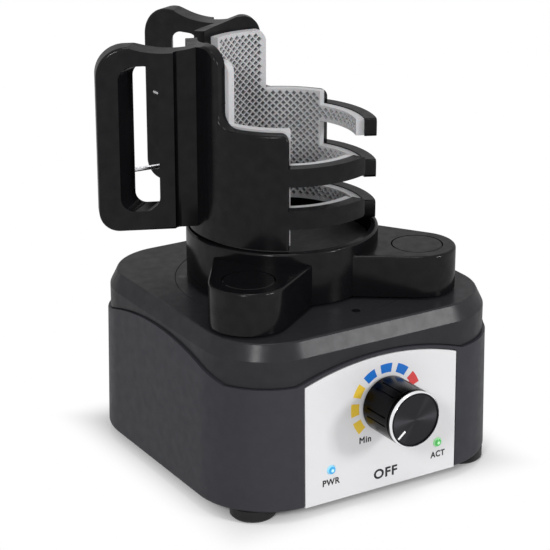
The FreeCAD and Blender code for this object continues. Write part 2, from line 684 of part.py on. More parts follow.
def make_handle():
    """Loop handle, near side: a plate with a splayed finger slot and a hollow at its root."""
    length = value("grip_length")
    thick = value("grip_thickness")
    bottom = value("grip_bottom")
    top = value("jaw_top")
    low_round = value("grip_bottom_round")
    high_round = value("grip_top_round")
    outline = side_wire(-length, 0, bottom, top, (1.0, low_round, high_round, 1.0), -thick)
    plate = Part.Face(outline).extrude(point(0, thick, 0))
    soft = edges_where(plate, lambda spot: spot.x > -length + 1.2 and (
        abs(spot.y) < 0.01 or abs(spot.y + thick) < 0.01))
    plate = plate.makeFillet(value("grip_edge"), soft)
    hollow = value("grip_hollow")
    face = value("grip_face")
    relief = block((-length - 1, -hollow, bottom - 1), (-face, 1, top + 1))
    relief = relief.makeFillet(hollow * 0.9, edges_where(
        relief, lambda spot: abs(spot.x + face) < 0.01 and abs(spot.y + hollow) < 0.01))
    plate = plate.cut(relief)
    corner = value("slot_corner")
    draft = value("slot_draft")
    slot_low = value("slot_bottom")
    slot_high = value("slot_top")
    near_left = -value("slot_far")
    near_right = -value("slot_near")
    far_right = near_right - value("slot_shift")
    far_left = near_left - value("slot_shift") + 2 * draft
    corners = (corner,) * 4
    back = side_wire(far_left, far_right, slot_low + draft, slot_high - draft,
                     (corner - draft,) * 4, -thick)
    front = side_wire(near_left, near_right, slot_low, slot_high, corners, 0)
    # Each end is carried on past its face along the same walls.
    tunnel = Part.makeLoft([back, front], True, True)
    ahead = Part.Face(front).extrude(point(0, 1.5, 0))
    behind = Part.Face(back).extrude(point(0, -1.5, 0))
    return grip_frame(plate.cut([tunnel, ahead, behind]))


def finger_levels(first):
    """Heights of every second finger, counted from the lowest."""
    pitch = value("finger_pitch")
    return [value("jaw_bottom") + pitch * level for level in range(first, 5, 2)]


def hinge_rod(radius, bottom, top):
    """Cylinder on the hinge axis in the clamp's own frame."""
    return rod(radius, bottom, top, value("hinge_reach"), 0)


def settle(shape):
    """Turns a jaw's part about the hinge to the angle at which it is moulded shut."""
    shape.rotate(point(value("hinge_reach"), 0, 0), point(0, 0, 1), value("jaw_set"))
    return shape


def make_jaw(first_finger, own_spans, other_spans):
    """Near jaw in the clamp's own frame: shell, fingers, loop handle and hinge knuckles."""
    inner = value("jaw_inner")
    outer = value("jaw_outer")
    bottom = value("jaw_bottom")
    top = value("jaw_top")
    mid = value("jaw_mid")
    start = value("jaw_start")
    tall_edge = value("jaw_tall_edge")
    mid_edge = value("jaw_mid_edge")
    tip = value("jaw_tip")
    height = value("finger_height")
    shell = sector(inner, outer, bottom, top, start, tall_edge)
    shell = shell.fuse(sector(inner, outer, bottom, mid, tall_edge - 1, mid_edge))
    shell = shell.removeSplitter()

    def upright(edge, angle, level):
        spot = edge.valueAt((edge.FirstParameter + edge.LastParameter) / 2)
        turn = math.degrees(math.atan2(spot.y, spot.x))
        radial = inner + 0.1 < math.hypot(spot.x, spot.y) < outer - 0.1
        return radial and abs(turn - angle) < 0.1 and abs(spot.z - level) < 0.01

    for angle, level, radius in (
        (tall_edge, top, "jaw_top_round"),
        (tall_edge, mid, "jaw_step_round"),
        (mid_edge, mid, "jaw_mid_round"),
    ):
        chosen = [edge for edge in shell.Edges if upright(edge, angle, level)]
        shell = shell.makeFillet(value(radius), chosen)
    crown = [edge for edge in shell.Edges if rim_edge(edge, outer, bottom)]
    shell = shell.makeFillet(value("edge_round"), crown)
    fingers = []
    for level in finger_levels(first_finger):
        finger = sector(inner, outer, level, level + height, start + 20, tip)
        ends = [edge for edge in finger.Edges if upright(edge, tip, level)
                or upright(edge, tip, level + height)]
        fingers.append(finger.makeFillet(value("tip_round"), ends))
    shell = shell.multiFuse(fingers)
    for low, high in own_spans:
        shell = shell.fuse(sector(inner, outer, low, high, 0, start + 2))
    shell = settle(shell)
    jaw = shell.fuse(make_handle())
    # The handle's root ends at the shell's inner face.
    core = settle(rod(inner, bottom - 1, top + 1))
    clear = value("wire_radius + coil_radius + spring_clear")
    cuts = [core]
    own = []
    for low, high in own_spans:
        own.append(hinge_rod(value("knuckle_radius"), low, high))
    for low, high in other_spans:
        cuts.append(hinge_rod(value("knuckle_radius + knuckle_gap"), low - 0.4, high + 0.4))
    spring_low = value("coil_bottom") - clear + value("coil_radius")
    spring_high = value("coil_top") + clear - value("coil_radius")
    cuts.append(hinge_rod(clear, spring_low, spring_high))
    window = sector(inner - 3, outer + 3, spring_low, spring_high,
                    0, value("spring_window"))
    cuts.append(settle(window))
    saddle = value("saddle_radius")
    scoop = Part.makeCylinder(saddle, 6 * outer,
                              point(value("saddle_reach"), -3 * outer,
                                    top - value("saddle_depth") + saddle), point(0, 1, 0))
    cuts.append(scoop)
    jaw = jaw.cut(cuts).multiFuse(own)
    crest = max(top, value("high_knuckle_top")) + 1
    bore = hinge_rod(value("pin_radius + knuckle_bore_gap"), bottom - 1, crest)
    return jaw.cut(bore).removeSplitter()


def rim_edge(edge, outer, bottom):
    """True for an edge of the shell's outer face that isn't its underside or hinge side."""
    first, last = edge.ParameterRange
    spots = [edge.valueAt(first + (last - first) * share) for share in (0.05, 0.5, 0.95)]
    on_face = all(abs(math.hypot(spot.x, spot.y) - outer) < 0.01 for spot in spots)
    middle = spots[1]
    turn = math.degrees(math.atan2(middle.y, middle.x))
    seam = abs(turn - value("jaw_start")) < 0.1 or middle.z < bottom + 0.01
    return on_face and not seam


def make_liner(first_finger):
    """Grip pad of the near jaw: a thin curved sheet with a strip behind each finger."""
    outer = value("jaw_inner - liner_bond")
    inner = outer - value("liner_thickness")
    bottom = value("jaw_bottom + liner_strip_lift")
    start = value("liner_start")
    tall_edge = value("liner_tall_edge")
    tall = value("liner_tall")
    mid = value("liner_mid")
    mid_edge = value("liner_mid_edge")
    sheet = sector(inner, outer, bottom, tall, start, tall_edge)
    sheet = sheet.fuse(sector(inner, outer, bottom, mid, tall_edge - 1, mid_edge))
    sheet = sheet.removeSplitter()

    def corner_edge(edge):
        spot = edge.valueAt((edge.FirstParameter + edge.LastParameter) / 2)
        turn = math.degrees(math.atan2(spot.y, spot.x))
        radial = inner + 0.1 < math.hypot(spot.x, spot.y) < outer - 0.1
        return radial and spot.z > tall - 0.01 and turn > start + 1

    sheet = sheet.makeFillet(value("liner_round"), [e for e in sheet.Edges if corner_edge(e)])
    strip = value("liner_strip")
    strips = []
    for level in finger_levels(first_finger):
        low = level + value("liner_strip_lift")
        strips.append(settle(sector(inner, outer, low, low + strip,
                                    mid_edge - 5, value("liner_tip"))))
    return settle(sheet).multiFuse(strips).removeSplitter()


def mirrored(shape):
    """The same part on the far side of the clamp's middle plane."""
    return shape.mirror(point(0, 0, 0), point(0, 1, 0))


def biarc(start, start_way, end, end_way):
    """Two tangent arcs from one point and direction to another."""
    chord = end - start
    spread = 2 * (1 - start_way.dot(end_way))
    lean = 2 * chord.dot(start_way + end_way)
    reach = (-lean + math.sqrt(lean * lean + 4 * spread * chord.dot(chord))) / (2 * spread)
    near = start + start_way * reach
    far = end - end_way * reach
    joint = (near + far) * 0.5
    edges = []
    for first, tip, last in ((start, near, joint), (joint, far, end)):
        middle = (first + last) * 0.5
        drop = middle - tip
        half = (last - first).Length / 2
        sine = half / reach
        step = reach * (1 - sine) / math.sqrt(1 - sine * sine)
        edges.append(Part.Arc(first, tip + drop.normalize() * step, last).toShape())
    return edges


def spring_legs():
    """Leg's end and the angle at which it leaves the coil, from the handle that it presses."""
    turn = math.radians(value("grip_angle"))
    out = point(math.cos(turn), math.sin(turn), 0)
    near = point(-math.sin(turn), math.cos(turn), 0)
    depth = value("grip_thickness + wire_radius + leg_gap")
    end = point(value("grip_x"), value("grip_y"), 0) - out * value("leg_touch") - near * depth
    run = end - point(value("hinge_reach"), 0, 0)
    lean = math.asin(value("coil_radius") / run.Length)
    return end, math.degrees(math.atan2(run.y, run.x) - lean)


def make_spring():
    """Torsion spring: one wire with a leg to each handle; returns it and its least gap."""
    end, leg = spring_legs()
    low = value("coil_bottom")
    high = value("coil_top")
    radius = value("coil_radius")
    centre = (value("hinge_reach"), 0)
    first = leg + 90
    total = 360 * value("coil_turns") + (270 - leg) - first
    steps = math.ceil(total / 90)
    rise = (high - low) / math.radians(total)
    flat = math.hypot(radius, rise)
    spots = []
    ways = []
    for step in range(steps + 1):
        angle = first + total * step / steps
        level = low + (high - low) * step / steps
        turn = math.radians(angle)
        spots.append(polar(centre, radius, angle, level))
        ways.append(point(-radius * math.sin(turn), radius * math.cos(turn), rise) * (1 / flat))
    for index in (0, -1):
        level_way = point(ways[index].x, ways[index].y, 0)
        ways[index] = level_way.normalize()
    edges = [Part.LineSegment(point(end.x, end.y, low), spots[0]).toShape()]
    for index in range(steps):
        edges.extend(biarc(spots[index], ways[index], spots[index + 1], ways[index + 1]))
    edges.append(Part.LineSegment(spots[-1], point(end.x, -end.y, high)).toShape())
    path = Part.Wire(edges)
    along = spots[0] - point(end.x, end.y, low)
    circle = Part.Circle(point(end.x, end.y, low), along, value("wire_radius")).toShape()
    wire = path.makePipeShell([Part.Wire([circle])], True, False)
    samples = []
    for edge in path.Edges:
        first_end, last_end = edge.ParameterRange
        count = max(2, int(edge.Length / 0.4))
        samples.extend((edge.valueAt(first_end + (last_end - first_end) * k / count))
                       for k in range(count))
    least = min((samples[i] - samples[j]).Length
                for i in range(len(samples)) for j in range(i + 12, len(samples)))
    return wire, least - 2 * value("wire_radius")


def ride_head(piece, turn="0"):
    """Places a piece of the head: turned to the clamp's direction, moved to the crank's throw."""
    piece.Placement = FreeCAD.Placement(point(0, 0, 0), FreeCAD.Rotation(point(0, 0, 1), 1))
    piece.setExpression("Placement.Rotation.Angle", led(turn))
    piece.setExpression("Placement.Base.x", led("offset_x"))
    piece.setExpression("Placement.Base.y", led("offset_y"))


def bored(label, outer, inner, bottom, height, x_text="0", y_text="0"):
    """Plain sleeve between two heights."""
    return turned(label, [(inner, bottom), (outer, bottom), (outer, height), (inner, height)],
                  x_text, y_text)


def add_base():
    """Shell of the base with its cover, feet and case screws."""
    pieces.append(solid_piece("lower_casing", make_lower_casing()))
    pieces.append(solid_piece("upper_casing", make_upper_casing()))

    cover = new_body("bottom_cover")
    sketch = new_sketch(cover, "XY_Plane", "foot_height")
    draw_outline(sketch, [("-cover_half", "-cover_half"), ("cover_half", "-cover_half"),
                          ("cover_half", "cover_half"), ("-cover_half", "cover_half")])
    plate = padded(cover, sketch, "cover_thickness")
    doc.recompute()
    corners = ["Edge%d" % number for number, edge in enumerate(plate.Shape.Edges, start=1)
               if abs(edge.tangentAt(edge.FirstParameter).z) > 0.9]
    fillet = cover.newObject("PartDesign::Fillet", "cover_corners")
    fillet.Base = (plate, corners)
    fillet.setExpression("Radius", led("cavity_corner - cover_gap"))
    signs = (("", ""), ("-", ""), ("-", "-"), ("", "-"))
    peg = "foot_peg_radius + peg_gap"
    pierced(cover, [(x + "foot_place", y + "foot_place", peg) for x, y in signs])
    pierced(cover, [(x + "case_screw_x", y + "case_screw_y", "screw_hole") for x, y in signs])
    doc.recompute()
    sketch = new_sketch(cover, "XY_Plane", "foot_height")
    draw_discs(sketch, [(x + "case_screw_x", y + "case_screw_y",
                         "screw_head_radius + screw_hole_gap") for x, y in signs])
    sink = padded(cover, sketch, "screw_head_height", "PartDesign::Pocket")
    sink.Reversed = True
    pieces.append(cover)

    names = ("rear_right", "rear_left", "front_left", "front_right")
    foot = [("0", "0"), ("foot_radius - foot_round", "0"), ("foot_radius", "foot_round"),
            ("foot_radius", "foot_height"), ("foot_peg_radius", "foot_height"),
            ("foot_peg_radius", "cover_top + peg_gap"),
            ("foot_barb_radius", "cover_top + peg_gap"),
            ("foot_peg_radius - 1", "cover_top + foot_barb_height"),
            ("0", "cover_top + foot_barb_height")]
    for name, (x, y) in zip(names, signs):
        pieces.append(turned("rubber_foot_" + name, foot, x + "foot_place", y + "foot_place"))

    screw = [("0", "foot_height"), ("screw_head_radius", "foot_height"),
             ("screw_head_radius", "screw_start"), ("screw_radius", "screw_start"),
             ("screw_radius", "screw_start + screw_length"), ("0", "screw_start + screw_length")]
    pieces.append(grouped("casing_screws", [
        turned("casing_screw_" + name, screw, x + "case_screw_x", y + "case_screw_y")
        for name, (x, y) in zip(names, signs)]))


def add_panel():
    """Front panel with its lamps, potentiometer, board and knob."""
    panel = new_body("control_panel")
    sketch = new_sketch(panel, "XY_Plane")
    half = value("panel_width / 2")
    low = value("panel_bottom")
    high = value("panel_corner")
    ends = [point(-half, low, 0), point(half, low, 0), point(half, high, 0)]
    sketch.addGeometry([Part.LineSegment(ends[0], ends[1]), Part.LineSegment(ends[1], ends[2]),
                        Part.Arc(ends[2], point(0, value("panel_peak"), 0), point(-half, high, 0)),
                        Part.LineSegment(point(-half, high, 0), ends[0])], False)
    sketch.addConstraint(Sketcher.Constraint("Coincident", 0, 2, 1, 1))
    sketch.addConstraint(Sketcher.Constraint("Coincident", 1, 2, 2, 1))
    sketch.addConstraint(Sketcher.Constraint("Coincident", 2, 2, 3, 1))
    sketch.addConstraint(Sketcher.Constraint("Coincident", 3, 2, 0, 1))
    locate(sketch, 0, 1, "-panel_width / 2", "panel_bottom")
    locate(sketch, 1, 1, "panel_width / 2", "panel_bottom")
    locate(sketch, 2, 1, "panel_width / 2", "panel_corner")
    locate(sketch, 3, 1, "-panel_width / 2", "panel_corner")
    rise = "(panel_peak - panel_corner)"
    tie(sketch, "Radius", (2,), "(panel_width * panel_width / 4 + %s * %s) / (2 * %s)"
        % (rise, rise, rise))
    plate = padded(panel, sketch, "panel_thickness")
    plate.Reversed = True
    pierced(panel, [("dial_x", "dial_up", "bushing_radius + bushing_gap"),
                    ("power_x", "power_up", "lamp_radius + lamp_gap"),
                    ("active_x", "active_up", "lamp_radius + lamp_gap")])
    face_wall(panel)
    pieces.append(panel)

    dome = [("0", "-lamp_depth"), ("lamp_flange", "-lamp_depth"),
            ("lamp_flange", "-panel_thickness - lamp_gap"),
            ("lamp_radius", "-panel_thickness - lamp_gap"),
            ("lamp_radius", "0"), ("lamp_radius * 0.92", "lamp_dome * 0.45"),
            ("lamp_radius * 0.7", "lamp_dome * 0.8"), ("lamp_radius * 0.35", "lamp_dome * 0.96"),
            ("0", "lamp_dome")]
    for name, x, up in (("led_power", "power_x", "power_up"),
                        ("led_active", "active_x", "active_up")):
        lamp = turned(name, dome)
        doc.recompute()
        sketch = new_sketch(lamp, "XY_Plane", "-lamp_depth")
        draw_discs(sketch, [("lead_spacing", "0", "lead_radius"),
                            ("-lead_spacing", "0", "lead_radius")])
        leads = padded(lamp, sketch, "board_back - board_thickness - lamp_depth")
        leads.Reversed = True
        face_wall(lamp, x, up)
        pieces.append(lamp)

    pot = turned("potentiometer", [
        ("shaft_radius + shaft_gap", "-pot_front - pot_depth + 1"),
        ("0", "-pot_front - pot_depth + 1"), ("0", "-pot_front - pot_depth"),
        ("pot_radius", "-pot_front - pot_depth"), ("pot_radius", "-pot_front"),
        ("bushing_radius", "-pot_front"), ("bushing_radius", "bushing_reach"),
        ("shaft_radius + shaft_gap", "bushing_reach")])
    face_wall(pot, "dial_x", "dial_up")
    pieces.append(pot)
    pieces.append(hex_nut("potentiometer_nut", "pot_nut_flats", "bushing_radius + bushing_gap",
                          "0", "pot_nut_height"))
    face_wall(pieces[-1], "dial_x", "dial_up")

    board = new_body("control_board")
    sketch = new_sketch(board, "XY_Plane", "-board_back")
    draw_outline(sketch, [("-board_width / 2", "board_bottom"), ("board_width / 2", "board_bottom"),
                          ("board_width / 2", "board_top"), ("-board_width / 2", "board_top")])
    padded(board, sketch, "board_thickness")
    pierced(board, [("board_screw_x", "board_screw_up", "small_screw_radius + pilot_gap"),
                    ("-board_screw_x", "board_screw_up", "small_screw_radius + pilot_gap")])
    face_wall(board)
    pieces.append(board)
    screw = [("0", "-board_back - small_head_height"),
             ("small_head_radius", "-board_back - small_head_height"),
             ("small_head_radius", "-board_back"), ("small_screw_radius", "-board_back"),
             ("small_screw_radius", "-board_back + small_screw_length"),
             ("0", "-board_back + small_screw_length")]
    screws = []
    for name, sign in (("board_screw_left", "-"), ("board_screw_right", "")):
        screws.append(turned(name, screw))
        face_wall(screws[-1], sign + "board_screw_x", "board_screw_up")
    pieces.append(grouped("board_screws", screws))


def hex_nut(label, flats, bore, bottom, height):
    """Six-sided nut with a plain bore."""
    body = new_body(label)
    sketch = new_sketch(body, "XY_Plane", bottom)
    corner = flats + " / sqrt(3)"
    corners = [("0", corner), ("-" + flats + " / 2", corner + " / 2"),
               ("-" + flats + " / 2", "-" + corner + " / 2"), ("0", "-" + corner),
               (flats + " / 2", "-" + corner + " / 2"), (flats + " / 2", corner + " / 2")]
    draw_outline(sketch, corners)
    padded(body, sketch, height)
    pierced(body, [("0", "0", bore)])
    return body


def add_knob():
    """Knob on the potentiometer's shaft: grooved body, bright ring, face and pointer."""
    knob = turned("knob_body", [
        ("shaft_radius + shaft_gap", "knob_reach - face_depth - 1 - knob_socket_depth"),
        ("knob_skirt_inner", "knob_reach - face_depth - 1 - knob_socket_depth"),
        ("knob_skirt_inner", "knob_gap"), ("knob_radius - knob_edge_round", "knob_gap"),
        ("knob_radius", "knob_gap + knob_edge_round"),
        ("knob_radius", "knob_reach - knob_collar_back - knob_collar_width"),
        ("knob_radius - knob_collar_depth", "knob_reach - knob_collar_back - knob_collar_width"),
        ("knob_radius - knob_collar_depth", "knob_reach - knob_collar_back"),
        ("knob_radius", "knob_reach - knob_collar_back"),
        ("knob_radius", "knob_reach - ring_thickness"),
        ("knob_radius - ring_thickness", "knob_reach - ring_thickness"),
        ("knob_radius - ring_thickness", "knob_reach - face_depth - face_sink"),
        ("0", "knob_reach - face_depth - face_sink"),
        ("0", "shaft_reach + shaft_gap"),
        ("shaft_radius + shaft_gap", "shaft_reach + shaft_gap")])
    doc.recompute()
    sketch = new_sketch(knob, "XY_Plane", "knob_slot_from")
    floor = "knob_radius - knob_slot_depth"
    outside = "knob_radius + knob_slot_depth"
    near = "knob_slot_spread - knob_slot_width / 2"
    far = "knob_slot_spread + knob_slot_width / 2"
    draw_outline(sketch, [(floor, near), (outside, near), (outside, far), (floor, far)])
    draw_outline(sketch, [(floor, "-(%s)" % far), (outside, "-(%s)" % far),
                          (outside, "-(%s)" % near), (floor, "-(%s)" % near)])
    slot = padded(knob, sketch, "knob_slot_to - knob_slot_from", "PartDesign::Pocket")
    slot.Reversed = True
    ring = knob.newObject("PartDesign::PolarPattern", "knob_slots")
    ring.Originals = [slot]
    ring.Axis = (sketch, ["N_Axis"])
    ring.Angle = 360
    ring.setExpression("Occurrences", led("knob_slot_pairs"))
    knob.Tip = ring
    face_wall(knob, "dial_x", "dial_up")
    pieces.append(knob)

    ring = turned("knob_chamfer_ring", [
        ("knob_radius - ring_thickness", "knob_reach - ring_thickness"),
        ("knob_radius", "knob_reach - ring_thickness"),
        ("knob_radius - ring_land * 0.2", "knob_reach - ring_thickness * 0.5"),
        ("knob_radius - ring_land", "knob_reach"),
        ("knob_radius - ring_thickness", "knob_reach")])
    face_wall(ring, "dial_x", "dial_up")
    pieces.append(ring)

    face = turned("knob_face", [
        ("0", "knob_reach - face_depth - face_sink"),
        ("knob_radius - ring_thickness - 0.02", "knob_reach - face_depth - face_sink"),
        ("knob_radius - ring_thickness - 0.02", "knob_reach - face_sink"),
        ("0", "knob_reach - face_sink")])
    doc.recompute()
    sketch = new_sketch(face, "XY_Plane", "knob_reach - face_sink")
    corners = pointer_corners()
    draw_outline(sketch, corners)
    sunk = padded(face, sketch, "pointer_depth", "PartDesign::Pocket")
    face_wall(face, "dial_x", "dial_up")
    pieces.append(face)
    sunk.Label = "pointer_groove"

    pointer = new_body("knob_pointer")
    sketch = new_sketch(pointer, "XY_Plane", "knob_reach - face_sink - pointer_depth")
    draw_outline(sketch, corners)
    padded(pointer, sketch, "pointer_depth")
    face_wall(pointer, "dial_x", "dial_up")
    pieces.append(pointer)

    shaft = turned("potentiometer_shaft", [
        ("0", "-pot_front - pot_depth + 1.1"), ("shaft_radius", "-pot_front - pot_depth + 1.1"),
        ("shaft_radius", "shaft_reach"), ("0", "shaft_reach")])
    face_wall(shaft, "dial_x", "dial_up")
    pieces.append(shaft)


def pointer_corners():
    """Corners of the pointer line on the knob's face."""
    corners = []
    for reach, side in (("pointer_from", 1), ("pointer_to", 1),
                        ("pointer_to", -1), ("pointer_from", -1)):
        half = "%s * pointer_width / 2" % side
        corners.append(("%s * cos(pointer_angle) - %s * sin(pointer_angle)" % (reach, half),
                        "%s * sin(pointer_angle) + %s * cos(pointer_angle)" % (reach, half)))
    return corners


def add_inlet():
    """Power inlet in the rear wall, with its nut inside."""
    jack = turned("dc_inlet", [
        ("0", "-inlet_body_depth"), ("inlet_body_radius", "-inlet_body_depth"),
        ("inlet_body_radius", "-inlet_nut_height - inlet_gap"),
        ("inlet_barrel_radius", "-inlet_nut_height - inlet_gap"),
        ("inlet_barrel_radius", "casing_wall"), ("inlet_flange_radius", "casing_wall"),
        ("inlet_flange_radius", "casing_wall + inlet_flange"),
        ("inlet_bore", "casing_wall + inlet_flange"),
        ("inlet_bore", "casing_wall + inlet_flange - inlet_bore_depth"),
        ("inlet_pin", "casing_wall + inlet_flange - inlet_bore_depth"),
        ("inlet_pin", "casing_wall"), ("0", "casing_wall")])
    nut = hex_nut("dc_inlet_nut", "inlet_nut_flats", "inlet_barrel_radius + inlet_gap",
                  "-inlet_nut_height", "inlet_nut_height")
    for item in (jack, nut):
        item.Placement = FreeCAD.Placement(point(0, 0, 0),
                                           FreeCAD.Rotation(point(1, 0, 0), -90))
        item.setExpression("Placement.Base.x", led("inlet_x"))
        item.setExpression("Placement.Base.y", led("cavity_half"))
        item.setExpression("Placement.Base.z", led("inlet_height"))
        pieces.append(item)


def add_drive():
    """Motor, its bracket and the drive plate that covers them."""
    plate = turned("drive_plate", [
        ("plate_hole", "plate_bottom"), ("plate_radius", "plate_bottom"),
        ("plate_radius", "plate_top"), ("plate_hole", "plate_top")])
    ring = ["(first_lobe + 45 + 120 * %d)" % step for step in range(3)]
    stands = ["(first_lobe + 120 * %d)" % step for step in range(3)]

    def spots(circle, angles):
        return [("%s * cos(%s)" % (circle, angle), "%s * sin(%s)" % (circle, angle))
                for angle in angles]

    hole = "small_screw_radius + screw_hole_gap"
    pierced(plate, [(x, y, hole) for x, y in spots("plate_screw_circle", ring)])
    pierced(plate, [(x, y, hole) for x, y in spots("standoff_circle", stands)])
    pieces.append(plate)

    bracket = turned("motor_bracket", [
        ("motor_boss_radius + motor_boss_gap", "bracket_top - bracket_thickness"),
        ("bracket_radius", "bracket_top - bracket_thickness"),
        ("bracket_radius", "bracket_top"),
        ("motor_boss_radius + motor_boss_gap", "bracket_top")])
    doc.recompute()
    sketch = new_sketch(bracket, "XY_Plane", "bracket_top")
    posts = spots("standoff_circle", stands)
    draw_discs(sketch, [(x, y, "standoff_radius") for x, y in posts])
    padded(bracket, sketch, "plate_bottom - bracket_top")
    pierced(bracket, [(x, y, "small_screw_radius + pilot_gap") for x, y in posts])
    sides = [("motor_screw_circle", "0"), ("-motor_screw_circle", "0")]
    pierced(bracket, [(x, y, "motor_screw_radius + pilot_gap") for x, y in sides])
    pieces.append(bracket)

    def screw_profile(top, head, radius, length):
        return [("0", top + " - " + length), (radius, top + " - " + length),
                (radius, top), (head, top), (head, top + " + small_head_height"),
                ("0", top + " + small_head_height")]

    flush = "plate_top - small_head_height"
    flush_screw = [("0", flush + " - small_screw_length"),
                   ("small_screw_radius", flush + " - small_screw_length"),
                   ("small_screw_radius", "plate_top - small_screw_radius"),
                   ("small_screw_radius + screw_hole_gap * 0.8", "plate_top"),
                   ("0", "plate_top")]
    upper = [turned("bracket_screw_%d" % number, flush_screw, x, y)
             for number, (x, y) in enumerate(posts)]
    pieces.append(grouped("bracket_screws", upper))
    ledge = [turned("plate_screw_%d" % number, flush_screw, x, y)
             for number, (x, y) in enumerate(spots("plate_screw_circle", ring))]
    pieces.append(grouped("plate_screws", ledge))
    motor_screw = screw_profile("bracket_top", "small_head_radius", "motor_screw_radius",
                                "(bracket_thickness + motor_screw_length)")
    pieces.append(grouped("motor_screws", [
        turned("motor_screw_%d" % number, motor_screw, x, y)
        for number, (x, y) in enumerate(sides)]))

    face = "bracket_top - bracket_thickness"
    bore = "motor_shaft_radius + bore_gap"
    can = turned("motor_can", [
        (bore, "motor_bottom"), ("motor_radius", "motor_bottom"),
        ("motor_radius", face + " - motor_round"), ("motor_radius - motor_round", face),
        ("motor_boss_radius", face), ("motor_boss_radius", face + " + motor_boss_height"),
        (bore, face + " + motor_boss_height")])
    doc.recompute()
    sketch = new_sketch(can, "XY_Plane", face)
    draw_discs(sketch, [(x, y, "motor_screw_radius + pilot_gap") for x, y in sides])
    padded(can, sketch, "motor_screw_length + 0.5", "PartDesign::Pocket")
    pieces.append(can)

    cap = turned("motor_end_cap", [
        (bore, "motor_bottom - cap_height - cap_boss_height"),
        ("cap_boss_radius", "motor_bottom - cap_height - cap_boss_height"),
        ("cap_boss_radius", "motor_bottom - cap_height"),
        ("motor_radius - motor_round", "motor_bottom - cap_height"),
        ("motor_radius - 0.2", "motor_bottom - cap_height + 1"),
        ("motor_radius - 0.2", "motor_bottom"), (bore, "motor_bottom")])
    doc.recompute()
    sketch = new_sketch(cap, "XY_Plane", "motor_bottom - cap_height")
    for sign in ("", "-"):
        draw_outline(sketch, [
            (sign + "tab_circle - tab_width / 2", "-tab_thickness / 2"),
            (sign + "tab_circle + tab_width / 2", "-tab_thickness / 2"),
            (sign + "tab_circle + tab_width / 2", "tab_thickness / 2"),
            (sign + "tab_circle - tab_width / 2", "tab_thickness / 2")])
    tabs = padded(cap, sketch, "tab_length")
    tabs.Reversed = True
    pieces.append(cap)


def add_crank():
    """What turns with the motor: shaft, eccentric hub, its set screw and the counterweight."""
    pieces.append(turned("motor_shaft", [
        ("0", "motor_bottom - motor_shaft_below"),
        ("motor_shaft_radius", "motor_bottom - motor_shaft_below"),
        ("motor_shaft_radius", "motor_shaft_top"), ("0", "motor_shaft_top")]))

    hub = turned("eccentric_hub", [
        ("motor_shaft_radius + bore_gap", "hub_bottom"), ("hub_radius", "hub_bottom"),
        ("hub_radius", "hub_top"), ("0", "hub_top"), ("0", "motor_shaft_top + bore_gap"),
        ("motor_shaft_radius + bore_gap", "motor_shaft_top + bore_gap")])
    doc.recompute()
    sketch = new_sketch(hub, "XY_Plane", "hub_top")
    draw_discs(sketch, [("offset_x", "offset_y", "journal_radius")])
    padded(hub, sketch, "bearing_top + journal_rise - hub_top")
    doc.recompute()
    sketch = new_sketch(hub, "XZ_Plane")
    draw_discs(sketch, [("0", "set_screw_height", "set_screw_radius + pilot_gap")])
    padded(hub, sketch, "hub_radius + 1", "PartDesign::Pocket")
    pieces.append(hub)

    screw = doc.addObject("Part::Cylinder", "hub_set_screw")
    screw.Label = "hub_set_screw"
    screw.setExpression("Radius", led("set_screw_radius"))
    screw.setExpression("Height", led("set_screw_length"))
    screw.Placement = FreeCAD.Placement(point(0, 0, 0), FreeCAD.Rotation(point(1, 0, 0), -90))
    screw.setExpression("Placement.Base.y", led("motor_shaft_radius + bore_gap"))
    screw.setExpression("Placement.Base.z", led("set_screw_height"))
    pieces.append(screw)

    half = doc.addObject("Part::Cylinder", "weight_half_disc")
    half.setExpression("Radius", led("weight_radius"))
    half.setExpression("Height", led("weight_height"))
    half.Angle = 180
    core = doc.addObject("Part::Cylinder", "weight_bore")
    core.setExpression("Radius", led("hub_radius + weight_fit"))
    core.setExpression("Height", led("weight_height"))
    weight = doc.addObject("Part::Cut", "counterweight")
    weight.Label = "counterweight"
    weight.Base = half
    weight.Tool = core
    weight.Placement = FreeCAD.Placement(point(0, 0, 0), FreeCAD.Rotation(point(0, 0, 1), 1))
    weight.setExpression("Placement.Rotation.Angle", led("crank_angle + 90"))
    weight.setExpression("Placement.Base.z", led("weight_bottom"))
    pieces.append(weight)


